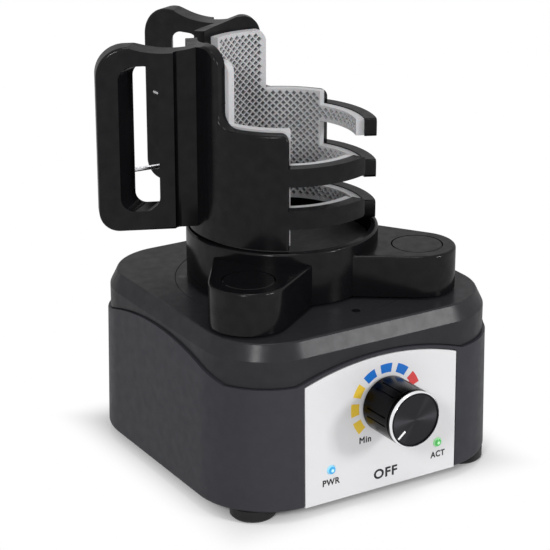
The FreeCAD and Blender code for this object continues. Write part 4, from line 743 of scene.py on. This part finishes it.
@dataclass
class BaseShell:
    """Casings, bottom cover, feet and case screws."""

    recess_width: float = 0.9 * MM
    recess_span: float = 3.6 * MM
    recess_depth: float = 0.8 * MM
    recess_taper: float = 0.6
    head_slack: float = 0.01 * MM

    def build(self) -> None:
        """Dresses the base."""
        smoothed("lower_casing", CASING)
        smoothed("upper_casing", SHADED_TOP_ABS)
        smoothed("bottom_cover", COVER)
        for corner in ("rear_right", "rear_left", "front_left", "front_right"):
            smoothed(f"rubber_foot_{corner}", RUBBER)
        self.build_screws()

    def build_screws(self) -> None:
        """Cuts a cross recess into the head of each case screw."""
        item = smoothed("casing_screws", ZINC, "recessed")
        for centre in self.head_centres():
            carve(item, self.recess(centre))

    def head_centres(self) -> list[Vector]:
        """Finds the middle of each case screw's head from the screws' lowest points.

        Returns:
            One point for each quarter of the base.
        """
        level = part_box("casing_screws")[0].z
        heads = [vert.co for vert in frame["nodes"]["casing_screws"].data.vertices
                 if abs(vert.co.z - level) < self.head_slack]
        centres = []
        for side_x in (1, -1):
            for side_y in (1, -1):
                spots = [spot for spot in heads if spot.x * side_x > 0 and spot.y * side_y > 0]
                across = [spot.x for spot in spots]
                along = [spot.y for spot in spots]
                centres.append(Vector(((min(across) + max(across)) / 2,
                                       (min(along) + max(along)) / 2, level)))
        return centres

    def recess(self, centre: Vector) -> bmesh.types.BMesh:
        """Makes one closed cross, sunk upwards from a head that faces down.

        Args:
            centre: Middle of the head's face.

        Returns:
            The cutting shape.
        """
        shape = bmesh.new()
        near, far = self.recess_width / 2, self.recess_span / 2
        arm = ((far, -near), (far, near), (near, near))
        outline = [Matrix.Rotation(math.radians(angle), 3, "Z")
                   @ Vector((*spot, -self.recess_depth))
                   for angle in (0, 90, 180, 270) for spot in arm]
        mouth = shape.faces.new([shape.verts.new(spot) for spot in outline])
        made = bmesh.ops.extrude_face_region(shape, geom=[mouth], use_keep_orig=True)["geom"]
        floor = [item for item in made if isinstance(item, bmesh.types.BMVert)]
        bmesh.ops.translate(shape, vec=(0, 0, 2 * self.recess_depth), verts=floor)
        bmesh.ops.scale(shape, vec=(self.recess_taper, self.recess_taper, 1), verts=floor)
        bmesh.ops.translate(shape, vec=centre, verts=shape.verts)
        bmesh.ops.recalc_face_normals(shape, faces=shape.faces)
        return shape


@dataclass
class FrontPanel:
    """Pale panel with its printed dial, words and two lamps.

    A spot on its face is given to the right of the middle of its foot and up from it.
    """

    draft_degrees: float = 1.03
    front: float = 52.5 * MM
    foot: float = 3.9 * MM
    dial: tuple[float, float] = (1.55 * MM, 28.97 * MM)
    block_radius: float = 11.66 * MM
    block_depth: float = 3.0 * MM
    block_degrees: float = 20.0
    ink: float = 0.03 * MM
    power: tuple[float, float] = (-18.86 * MM, 10.96 * MM)
    active: tuple[float, float] = (21.61 * MM, 10.51 * MM)
    lamp_crown: float = 0.9 * MM
    lamp_glow: float = 0.4
    steps: int = 8

    def basis(self) -> Matrix:
        """Gives the panel's own frame: +X right, +Y up its face, +Z outwards.

        Returns:
            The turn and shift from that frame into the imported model's.
        """
        lean = math.radians(self.draft_degrees)
        across = Vector((1, 0, 0))
        up = Vector((0, math.sin(lean), math.cos(lean)))
        out = Vector((0, -math.cos(lean), math.sin(lean)))
        turn = Matrix((across, up, out)).transposed().to_4x4()
        return Matrix.Translation((0, -self.front, self.foot)) @ turn

    def point(self, spot: tuple[float, float], lift: float) -> tuple[float, float, float]:
        """Gives a place in front of the panel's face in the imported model's frame."""
        return tuple(self.basis() @ Vector((*spot, lift)))

    def build(self) -> None:
        """Dresses the panel, its print and its lamps."""
        smoothed("control_panel", OVERLAY)
        self.build_dial()
        self.build_words()
        for node, spot, core, ring, rim in (
            ("led_power", self.power, "#B4E2F4", "#2C8FC4", "#8CCDE8"),
            ("led_active", self.active, "#B2EDB0", "#3AA048", "#93D496"),
        ):
            crown = self.point(spot, self.lamp_crown)
            smoothed(node, LitLens(f"{node}_epoxy_lens", core, ring, rim, self.lamp_glow, crown))

    def printed(self, shape: bmesh.types.BMesh, name: str, finish: Finish) -> None:
        """Gives flat artwork the thickness of its ink and lays it on the panel.

        Args:
            shape: The artwork, in the panel's frame; it is freed here.
            name: Name of the piece.
            finish: Its ink.
        """
        bmesh.ops.recalc_face_normals(shape, faces=shape.faces)
        down = [part for part in shape.faces if part.normal.z < 0]
        bmesh.ops.reverse_faces(shape, faces=down)
        raised = bmesh.ops.extrude_face_region(shape, geom=shape.faces[:], use_keep_orig=True)
        top = [item for item in raised["geom"] if isinstance(item, bmesh.types.BMVert)]
        bmesh.ops.translate(shape, vec=(0, 0, self.ink), verts=top)
        bmesh.ops.recalc_face_normals(shape, faces=shape.faces)
        bmesh.ops.transform(shape, matrix=self.basis(), verts=shape.verts)
        Piece(name, "base", "panel", finish).finished(shape)

    def build_dial(self) -> None:
        """Seven blocks round the knob: three yellow, three blue and a red one."""
        scale = (("yellow", INK_YELLOW, (210, 180, 150)), ("blue", INK_BLUE, (120, 90, 60)),
                 ("red", INK_RED, (30,)))
        for name, finish, angles in scale:
            shape = bmesh.new()
            for angle in angles:
                self.add_block(shape, math.radians(angle))
            self.printed(shape, f"dial_blocks_{name}", finish)

    def add_block(self, shape: bmesh.types.BMesh, angle: float) -> None:
        """Adds one block of the dial by turning its radial edge through its width.

        Args:
            shape: Artwork that the block joins.
            angle: Angle of its middle.
        """
        width = math.radians(self.block_degrees)
        centre = Vector((*self.dial, 0))
        ends = []
        for reach in (self.block_radius - self.block_depth / 2,
                      self.block_radius + self.block_depth / 2):
            start = angle - width / 2
            way = Vector((math.cos(start), math.sin(start), 0))
            ends.append(shape.verts.new(centre + way * reach))
        edge = shape.edges.new(ends)
        bmesh.ops.spin(shape, geom=[*ends, edge], cent=centre, axis=(0, 0, 1), angle=width,
                       steps=self.steps)

    def build_words(self) -> None:
        """Plain lettering: the off mark, the low mark and the two lamp names."""
        for text, centre, size, weight in (
            ("OFF", (1.6 * MM, 5.0 * MM), (8.9 * MM, 3.4 * MM), 0.032),
            ("Min", (-6.2 * MM, 18.2 * MM), (4.4 * MM, 2.2 * MM), 0.028),
            ("PWR", (self.power[0], 6.84 * MM), (6.4 * MM, 2.2 * MM), 0.034),
            ("ACT", (self.active[0] + 0.2 * MM, 6.4 * MM), (5.6 * MM, 2.2 * MM), 0.034),
        ):
            shape = lettering(text, centre, size, weight)
            self.printed(shape, f"word_{text.lower()}", INK_DARK)


def thicken(shape: bmesh.types.BMesh, weight: float) -> None:
    """Moves the outline of flat faces outwards.

    Args:
        shape: Flat faces in the XY plane.
        weight: Distance that the outline moves.
    """
    shifts = {}
    for edge in shape.edges:
        if not edge.is_boundary:
            continue
        way = (edge.verts[1].co - edge.verts[0].co).normalized()
        side = way.cross(Vector((0, 0, 1)))
        if side.dot(edge.link_faces[0].calc_center_median() - edge.verts[0].co) > 0:
            side.negate()
        for vert in edge.verts:
            shifts.setdefault(vert, []).append(side)
    for vert, sides in shifts.items():
        total = sum(sides, Vector())
        if total.length > SHARPEST_TURN:
            mitre = min(len(sides) / total.length, LONGEST_MITRE)
            vert.co += total.normalized() * weight * mitre


def lettering(text: str, centre: tuple[float, float], size: tuple[float, float],
              weight: float) -> bmesh.types.BMesh:
    """Draws a word as flat faces, fitted to a width and a height.

    Args:
        text: The word.
        centre: Its middle on the panel.
        size: Its width and the height of its capitals.
        weight: How far the strokes are thickened, as a share of the letter size.

    Returns:
        The flat shape.
    """
    curve = bpy.data.curves.new("word", "FONT")
    curve.body = text
    curve.resolution_u = LETTER_STEPS
    curve.space_character = LETTER_SPACING
    item = bpy.data.objects.new("word", curve)
    bpy.context.scene.collection.objects.link(item)
    mesh = bpy.data.meshes.new_from_object(item)
    bpy.data.objects.remove(item)
    bpy.data.curves.remove(curve)
    shape = bmesh.new()
    shape.from_mesh(mesh)
    bpy.data.meshes.remove(mesh)
    bmesh.ops.remove_doubles(shape, verts=shape.verts, dist=LETTER_WELD)
    thicken(shape, weight)
    low = Vector((min(v.co.x for v in shape.verts), min(v.co.y for v in shape.verts), 0))
    high = Vector((max(v.co.x for v in shape.verts), max(v.co.y for v in shape.verts), 0))
    bmesh.ops.translate(shape, vec=-(low + high) / 2, verts=shape.verts)
    span = high - low
    bmesh.ops.scale(shape, vec=(size[0] / span.x, size[1] / span.y, 1), verts=shape.verts)
    bmesh.ops.translate(shape, vec=(*centre, 0), verts=shape.verts)
    return shape


@dataclass
class ControlKnob:
    """Anodised knob: fluted body, bright chamfer, spun face and white pointer."""

    panel: FrontPanel
    face_out: float = 16.0 * MM
    cut_radius: float = 8.75 * MM

    def build(self) -> None:
        """Dresses the knob."""
        centre = self.panel.point(self.panel.dial, self.face_out)
        out = tuple(self.panel.basis().to_3x3() @ Vector((0, 0, 1)))
        # Spun and anodised black: the light on it opens into two fans.
        face = SpunMetal("spun_anodised_aluminium", "#343437", roughness=0.45, centre=centre,
                         axis=out, anisotropy=0.92)
        # Turned and anodised black: a soft dark mirror.
        body = SpunMetal("turned_anodised_aluminium", "#141416", roughness=0.22, centre=centre,
                         axis=out, anisotropy=0.3)
        # Diamond-cut after anodising: a bright bare line round the face.
        ring = SpunMetal("diamond_cut_aluminium", "#252528", roughness=0.14, centre=centre,
                         axis=out, anisotropy=0.3, cut_radius=self.cut_radius)
        smoothed("knob_body", body)
        smoothed("knob_chamfer_ring", ring)
        smoothed("knob_face", face)
        smoothed("knob_pointer", POINTER)
        dress("potentiometer_shaft", GROUND)


@dataclass
class Drive:
    """Motor, bracket, crank and idlers, with the plate that covers them."""

    plain: dict[str, Finish] = field(default_factory=lambda: {
        "motor_bracket": ZINC, "bracket_screws": ZINC, "motor_can": NICKEL,
        "motor_end_cap": SMALL_BLACK, "motor_screws": ZINC, "motor_shaft": GROUND,
        "eccentric_hub": TURNED, "hub_set_screw": SMALL_BLACK, "counterweight": ZINC,
        "potentiometer": SMALL_BLACK, "potentiometer_nut": NICKEL, "control_board": BOARD,
        "board_screws": ZINC, "dc_inlet_nut": NICKEL, "main_bearing": GROUND,
    })

    def build(self) -> None:
        """Dresses the drive."""
        smoothed("drive_plate", SHADED_TOP_ABS)
        smoothed("plate_screws", OXIDE)
        smoothed("dc_inlet", SMALL_BLACK)
        for name in ("left", "front", "right"):
            smoothed(f"idler_crank_{name}", TURNED)
            smoothed(f"pivot_bush_{name}", BRONZE)
            dress(f"lobe_bush_{name}", BRONZE)
        for node, finish in self.plain.items():
            dress(node, finish)


@dataclass
class OrbitHead:
    """Three-lobed head with its caps, floor pad and hinge pin."""

    def build(self) -> None:
        """Dresses the head."""
        smoothed("orbit_cup", HEAD)
        for name in ("left", "front", "right"):
            smoothed(f"lobe_cap_{name}", HEAD)
        smoothed("cup_floor_pad", RUBBER)
        smoothed("hinge_pin", GROUND)
        dress("hinge_pin_clip", ZINC)


@dataclass
class ClampFrame:
    """The clamp's own frame: its axis on the head, its hinge and the jaws' set angle."""

    direction_degrees: float = 135.0
    set_degrees: float = 3.1

    def matrix(self) -> Matrix:
        """Gives the clamp's own frame: its axis upright, +X towards the hinge.

        Returns:
            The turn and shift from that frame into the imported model's.
        """
        axis = joint_point("head_orbit")
        turn = Matrix.Rotation(math.radians(self.direction_degrees), 4, "Z")
        return Matrix.Translation((axis.x, axis.y, 0)) @ turn

    def hinge(self) -> Vector:
        """Gives the hinge axis in the clamp's frame."""
        spot = self.matrix().inverted() @ joint_point("near_jaw_swing")
        return Vector((spot.x, spot.y, 0))

    def jaw(self, side: Side) -> Matrix:
        """Gives the frame of one jaw's cylinder, in which the jaw is on the +Y side.

        Args:
            side: Which jaw.

        Returns:
            The mirror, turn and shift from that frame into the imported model's.
        """
        arm = self.hinge()
        settle = (Matrix.Translation(arm)
                  @ Matrix.Rotation(math.radians(self.set_degrees), 4, "Z")
                  @ Matrix.Translation(-arm))
        mirror = Matrix.Diagonal((1, side.value, 1, 1))
        return self.matrix() @ mirror @ settle


@dataclass
class GripPad:
    """Silicone pad of one jaw: its inner face is a raised lattice over diamond pits."""

    side: Side
    clamp: ClampFrame
    face_radius: float = 24.4 * MM
    pitch: float = 1.62 * MM
    rib: float = 0.5 * MM
    slope: float = 0.14 * MM
    pit_depth: float = 1.1 * MM
    full_share: float = 0.97
    flat_degrees: float = 0.05
    face_slack: float = 0.02 * MM

    def build(self) -> None:
        """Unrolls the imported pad, cuts the lattice into its face and rolls it up again."""
        name = f"{self.side.name.lower()}_grip_pad"
        shape = merged(name, self.flat_degrees)
        home = self.clamp.jaw(self.side)
        bmesh.ops.transform(shape, matrix=home.inverted(), verts=shape.verts)
        self.unroll(shape)
        self.merge_face(shape)
        self.cut_lattice(shape)
        self.sink_pits(shape)
        self.roll(shape)
        bmesh.ops.transform(shape, matrix=home, verts=shape.verts)
        bmesh.ops.recalc_face_normals(shape, faces=shape.faces)
        body = frame["nodes"][name]["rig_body"]
        Piece(f"{name}_lattice", body, "liner", GRIP, (name,), second=PIT_SHADE).finished(shape)

    def unroll(self, shape: bmesh.types.BMesh) -> None:
        """Flattens the cylinder: X along its face, Y up, Z away from the axis.

        Args:
            shape: The pad in its jaw's frame.
        """
        for vert in shape.verts:
            reach = math.hypot(vert.co.x, vert.co.y)
            angle = math.atan2(vert.co.y, vert.co.x)
            vert.co = (angle * self.face_radius, vert.co.z, reach - self.face_radius)

    def roll(self, shape: bmesh.types.BMesh) -> None:
        """Bends the flat pad back round its axis.

        Args:
            shape: The flat pad.
        """
        for vert in shape.verts:
            angle = vert.co.x / self.face_radius
            reach = vert.co.z + self.face_radius
            vert.co = (reach * math.cos(angle), reach * math.sin(angle), vert.co.y)

    def face_parts(self, shape: bmesh.types.BMesh) -> list[bmesh.types.BMFace]:
        """Finds the faces that lie on the flat pad's inner face."""
        return [part for part in shape.faces
                if all(abs(vert.co.z) < self.face_slack for vert in part.verts)]

    def merge_face(self, shape: bmesh.types.BMesh) -> None:
        """Joins the inner face's triangles into one face."""
        bmesh.ops.dissolve_faces(shape, faces=self.face_parts(shape))

    def cut_lattice(self, shape: bmesh.types.BMesh) -> None:
        """Cuts the inner face along both diagonals.

        Args:
            shape: The flat pad.
        """
        spots = [vert.co for part in self.face_parts(shape) for vert in part.verts]
        for lean in (1, -1):
            normal = Vector((1, lean, 0)).normalized()
            places = [normal.dot(spot) for spot in spots]
            first = math.ceil(min(places) / self.pitch)
            last = math.floor(max(places) / self.pitch)
            for step in range(first, last + 1):
                parts = self.face_parts(shape)
                geometry = {item for part in parts for item in (part, *part.edges, *part.verts)}
                bmesh.ops.bisect_plane(shape, geom=list(geometry), dist=WELD,
                                       plane_co=normal * (step * self.pitch), plane_no=normal)

    def sink_pits(self, shape: bmesh.types.BMesh) -> None:
        """Sinks a pit with sloping walls into every whole diamond.

        Args:
            shape: The flat pad, cut into diamonds.
        """
        whole = self.pitch * self.pitch * self.full_share
        cells = [part for part in self.face_parts(shape)
                 if len(part.verts) == 4 and part.calc_area() > whole]
        bmesh.ops.inset_individual(shape, faces=cells, thickness=self.rib / 2, depth=0)
        bmesh.ops.inset_individual(shape, faces=cells, thickness=self.slope, depth=0)
        # The pit floors take the second finish: silicone painted darker as the shade in the pits.
        for part in cells:
            part.material_index = 1
        floor = {vert for part in cells for vert in part.verts}
        bmesh.ops.translate(shape, vec=(0, 0, self.pit_depth), verts=list(floor))


@dataclass
class Jaw:
    """One moulded half of the clamp."""

    side: Side

    def build(self) -> None:
        """Dresses the jaw."""
        smoothed(f"{self.side.name.lower()}_jaw", HEAD)


@dataclass
class TorsionSpring:
    """Wire spring on the hinge pin: a close coil and a straight leg to each handle."""

    clamp: ClampFrame
    wire: float = 0.7 * MM
    coil: float = 3.4 * MM
    low: float = 97.7 * MM
    high: float = 111.8 * MM
    turns: int = 7
    grip: tuple[float, float] = (51.2 * MM, 33.0 * MM)
    grip_degrees: float = 21.5
    grip_thickness: float = 7.3 * MM
    leg_touch: float = 5.0 * MM
    leg_gap: float = 0.3 * MM
    sides: int = 14
    steps_each_turn: int = 32
    lead_degrees: float = 60.0
    overlap_degrees: float = 1.0
    end_round: float = 0.35
    end_narrow: float = 0.72
    crease_degrees: float = 50.0

    def leg_end(self) -> Vector:
        """Gives the near leg's end, at its handle's inner face.

        Returns:
            The point in the clamp's frame.
        """
        turn = math.radians(self.grip_degrees)
        out = Vector((math.cos(turn), math.sin(turn), 0))
        near = Vector((-math.sin(turn), math.cos(turn), 0))
        depth = self.grip_thickness + self.wire + self.leg_gap
        end = Vector((self.grip[0], self.grip[1], 0))
        return end - out * self.leg_touch - near * depth

    def leg_angle(self) -> float:
        """Gives the angle at which the near leg leaves the coil."""
        run = self.leg_end() - self.clamp.hinge()
        return math.atan2(run.y, run.x) - math.asin(self.coil / run.length)

    def wire_ring(self, shape: bmesh.types.BMesh, angle: float, level: float) -> list:
        """Draws the wire's round section at one place of the coil.

        Args:
            shape: Mesh that the section joins.
            angle: Angle of the place round the hinge.
            level: Its height.

        Returns:
            The section's points.
        """
        made = bmesh.ops.create_circle(shape, segments=self.sides, radius=self.wire)["verts"]
        stand = Matrix.Rotation(math.pi / 2, 4, "X")
        shift = Matrix.Translation((self.coil, 0, 0))
        turn = Matrix.Rotation(angle, 4, "Z")
        lift = Matrix.Translation(self.clamp.hinge() + Vector((0, 0, level)))
        bmesh.ops.transform(shape, matrix=lift @ turn @ shift @ stand, verts=made)
        return made

    def wind(self, shape: bmesh.types.BMesh, ring: list, angle: float, rise: float) -> list:
        """Winds a section round the hinge.

        Args:
            shape: Mesh that holds the section.
            ring: The section's points.
            angle: Angle to wind through.
            rise: Climb over that angle.

        Returns:
            The last section's points.
        """
        edges = {edge for vert in ring for edge in vert.link_edges
                 if all(end in ring for end in edge.verts)}
        steps = round(abs(angle) / (2 * math.pi) * self.steps_each_turn)
        made = bmesh.ops.spin(shape, geom=[*ring, *edges], cent=self.clamp.hinge(),
                              axis=(0, 0, 1), angle=angle, steps=steps,
                              dvec=(0, 0, rise / steps))
        return [item for item in made["geom_last"] if isinstance(item, bmesh.types.BMVert)]

    def run_out(self, shape: bmesh.types.BMesh, ring: list, way: Vector) -> None:
        """Draws a section out along a straight run and rounds its end.

        Args:
            shape: Mesh that holds the section.
            ring: The section's points.
            way: Direction and length of the run.
        """
        edges = {edge for vert in ring for edge in vert.link_edges
                 if all(end in ring for end in edge.verts)}
        rounding = ((1 - self.end_round * self.wire / way.length, 1.0), (1.0, self.end_narrow))
        last = list(edges)
        gone = 0.0
        for share, narrow in rounding:
            made = bmesh.ops.extrude_edge_only(shape, edges=last)["geom"]
            verts = [item for item in made if isinstance(item, bmesh.types.BMVert)]
            last = [item for item in made if isinstance(item, bmesh.types.BMEdge)
                    and all(end in verts for end in item.verts)]
            bmesh.ops.translate(shape, vec=way * (share - gone), verts=verts)
            middle = sum((vert.co for vert in verts), Vector()) / len(verts)
            for vert in verts:
                vert.co = middle + (vert.co - middle) * narrow
            gone = share
        bmesh.ops.contextual_create(shape, geom=last)

    def finished(self, shape: bmesh.types.BMesh, name: str, body: str,
                 stands_for: tuple[str, ...]) -> None:
        """Closes a stretch of wire, turns it into place and dresses it.

        Args:
            shape: The stretch in the clamp's frame; it is freed here.
            name: Name of the piece.
            body: Body that it rides on.
            stands_for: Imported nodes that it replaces.
        """
        open_edges = [edge for edge in shape.edges if edge.is_boundary]
        bmesh.ops.holes_fill(shape, edges=open_edges, sides=self.sides)
        bmesh.ops.recalc_face_normals(shape, faces=shape.faces)
        bmesh.ops.transform(shape, matrix=self.clamp.matrix(), verts=shape.verts)
        Piece(name, body, "spring_steel", WIRE, stands_for, self.crease_degrees).finished(shape)

    def build(self) -> None:
        """Winds the coil on the head and a leg on each jaw."""
        leg = self.leg_angle()
        start = leg + math.pi / 2
        total = 2 * math.pi * self.turns + (1.5 * math.pi - leg) - start
        climb = (self.high - self.low) / total
        lead = math.radians(self.lead_degrees)
        coil = bmesh.new()
        ring = self.wire_ring(coil, start + lead, self.low + climb * lead)
        self.wind(coil, ring, total - 2 * lead, climb * (total - 2 * lead))
        self.finished(coil, "spring_coil", "head", ("torsion_spring",))
        for side in Side:
            self.build_leg(side, start, total, climb, lead)

    def build_leg(self, side: Side, start: float, total: float, climb: float,
                  lead: float) -> None:
        """Draws one leg with its share of the first or last turn.

        Args:
            side: Which leg.
            start: Angle at which the wire starts to wind.
            total: Angle that it winds through.
            climb: Rise for each radian.
            lead: Angle of the turn that belongs to the leg.
        """
        shape = bmesh.new()
        end = self.leg_end()
        sweep = side.value * (lead + math.radians(self.overlap_degrees))
        angle, level = (start, self.low) if side is Side.NEAR else (start + total, self.high)
        target = Vector((end.x, side.value * end.y, level))
        ring = self.wire_ring(shape, angle, level)
        self.wind(shape, ring, sweep, climb * sweep)
        arm = Vector((math.cos(angle), math.sin(angle), 0)) * self.coil
        tangent_point = self.clamp.hinge() + arm + Vector((0, 0, level))
        self.run_out(shape, ring, target - tangent_point)
        name = side.name.lower()
        self.finished(shape, f"spring_leg_{name}", f"{name}_clamp", ("torsion_spring",))


@dataclass
class Studio:
    """White paper floor, soft lamps and the camera at the photograph's angle.

    The floor shows the object's shadow near the base and turns white beyond it.
    """

    eye: tuple[float, float, float] = (-333.0 * MM, -532.4 * MM, 295.8 * MM)
    target: tuple[float, float, float] = (-7.41 * MM, 0.0, 60.56 * MM)
    lens: float = 133.74
    near_clip: float = 0.01
    floor_half: float = 6.0
    floor_squares: int = 8
    paper: str = "#FAFAFA"
    fade_from: float = 0.042
    fade_to: float = 0.063
    fade_corner: float = 0.01
    surround: float = 0.4
    lamp_target: tuple[float, float, float] = (0.0, 0.0, 0.06)

    def build(self) -> None:
        """Sets the stage."""
        bpy.context.scene.view_settings.view_transform = "Standard"
        self.build_floor()
        self.build_world()
        self.build_camera()
        self.add_lamp("key_softbox", (-0.78, -0.72, 0.62), size=0.2, power=4.9)
        self.add_lamp("bevel_softbox", (0.64, -0.95, 0.43), size=0.22, power=5.2)
        self.add_lamp("top_softbox", (-0.05, -0.15, 1.2), size=0.3, power=2.2)

    def build_floor(self) -> None:
        """Lays the floor."""
        shape = bmesh.new()
        bmesh.ops.create_grid(shape, x_segments=self.floor_squares,
                              y_segments=self.floor_squares, size=self.floor_half)
        mesh = bpy.data.meshes.new("studio_floor")
        shape.to_mesh(mesh)
        shape.free()
        item = bpy.data.objects.new("studio_floor", mesh)
        bpy.context.scene.collection.objects.link(item)
        item.data.materials.append(self.floor_material())

    def floor_material(self) -> bpy.types.Material:
        """Seamless paper: dull and even under the shadow, white to the eye beyond it.

        Returns:
            The finished material.
        """
        material = bpy.data.materials.new("white_seamless_paper")
        material.use_nodes = True
        tree = material.node_tree
        tree.nodes.clear()
        paper = add_node(tree, "ShaderNodeBsdfDiffuse", {"Color": linear(self.paper)})
        white = add_node(tree, "ShaderNodeEmission", {"Color": (1, 1, 1, 1), "Strength": 1.0})
        place = add_node(tree, "ShaderNodeTexCoord").outputs["Object"]
        reach = add_node(tree, "ShaderNodeVectorMath", {"operation": "ABSOLUTE"}, {0: place})
        sides = add_node(tree, "ShaderNodeSeparateXYZ", links={0: reach.outputs[0]})
        square = add_node(tree, "ShaderNodeMath", {
            "operation": "SMOOTH_MAX", 2: self.fade_corner}, {
            0: sides.outputs["X"], 1: sides.outputs["Y"]})
        fade = add_node(tree, "ShaderNodeMapRange", {
            "interpolation_type": "SMOOTHSTEP", "From Min": self.fade_from,
            "From Max": self.fade_to}, {"Value": square.outputs[0]})
        share = add_node(tree, "ShaderNodeMath", {"operation": "MULTIPLY"}, {
            0: fade.outputs[0], 1: self.seen(tree, ("Is Camera Ray", "Is Glossy Ray"))})
        mix = add_node(tree, "ShaderNodeMixShader", links={
            0: share.outputs[0], 1: paper.outputs[0], 2: white.outputs[0]})
        add_node(tree, "ShaderNodeOutputMaterial", links={"Surface": mix.outputs[0]})
        return material

    @staticmethod
    def seen(tree: bpy.types.NodeTree, rays: tuple[str, ...]) -> bpy.types.NodeSocket:
        """Tells the rays that carry a picture from those that carry light.

        Args:
            tree: Tree that the test joins.
            rays: Kinds of ray that carry a picture.

        Returns:
            One for those rays and nothing for any other.
        """
        path = add_node(tree, "ShaderNodeLightPath")
        found = path.outputs[rays[0]]
        for ray in rays[1:]:
            found = add_node(tree, "ShaderNodeMath", {"operation": "MAXIMUM"}, {
                0: found, 1: path.outputs[ray]}).outputs[0]
        return found

    def build_world(self) -> None:
        """White surround for the eye and for reflections, softer as a light."""
        world = bpy.data.worlds.new("white_studio")
        bpy.context.scene.world = world
        world.use_nodes = True
        tree = world.node_tree
        tree.nodes.clear()
        clear = self.seen(tree, ("Is Camera Ray", "Is Glossy Ray", "Is Transmission Ray"))
        level = add_node(tree, "ShaderNodeMapRange", {
            "To Min": self.surround, "To Max": 1.0}, {"Value": clear})
        sky = add_node(tree, "ShaderNodeBackground", {"Color": (1, 1, 1, 1)},
                       {"Strength": level.outputs[0]})
        add_node(tree, "ShaderNodeOutputWorld", links={"Surface": sky.outputs[0]})

    def build_camera(self) -> None:
        """Camera at the photograph's place and lens."""
        data = bpy.data.cameras.new("photograph_view")
        data.lens = self.lens
        data.clip_start = self.near_clip
        item = bpy.data.objects.new("photograph_view", data)
        self.aim(item, self.eye, self.target)
        bpy.context.scene.camera = item

    def add_lamp(self, name: str, place: tuple[float, float, float], size: float,
                 power: float) -> None:
        """Hangs a square soft lamp that looks at the object.

        Args:
            name: Name of the lamp.
            place: Its middle.
            size: Length of its sides.
            power: Its power in watts.
        """
        data = bpy.data.lights.new(name, "AREA")
        data.shape = "SQUARE"
        data.size = size
        data.energy = power
        self.aim(bpy.data.objects.new(name, data), place, self.lamp_target)

    @staticmethod
    def aim(item: bpy.types.Object, place: tuple[float, float, float],
            target: tuple[float, float, float]) -> None:
        """Puts a camera or a lamp in its place and turns it to what it looks at.

        Args:
            item: The camera or lamp.
            place: Where it stands.
            target: What it looks at.
        """
        bpy.context.scene.collection.objects.link(item)
        item.location = place
        look = Vector(target) - Vector(place)
        item.rotation_euler = look.to_track_quat("-Z", "Y").to_euler()


def main() -> None:
    """Builds every sub-assembly in order."""
    logging.basicConfig(level=logging.INFO, format="%(message)s")
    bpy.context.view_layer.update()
    panel = FrontPanel()
    clamp = ClampFrame()
    parts = [Studio(), BaseShell(), panel, ControlKnob(panel), Drive(), OrbitHead(),
             TorsionSpring(clamp)]
    for side in Side:
        parts.append(Jaw(side))
        parts.append(GripPad(side, clamp))
    for part in parts:
        LOG.info("Building %s", type(part).__name__)
        part.build()
    bpy.context.view_layer.update()


if __name__ == "__main__":
    main()
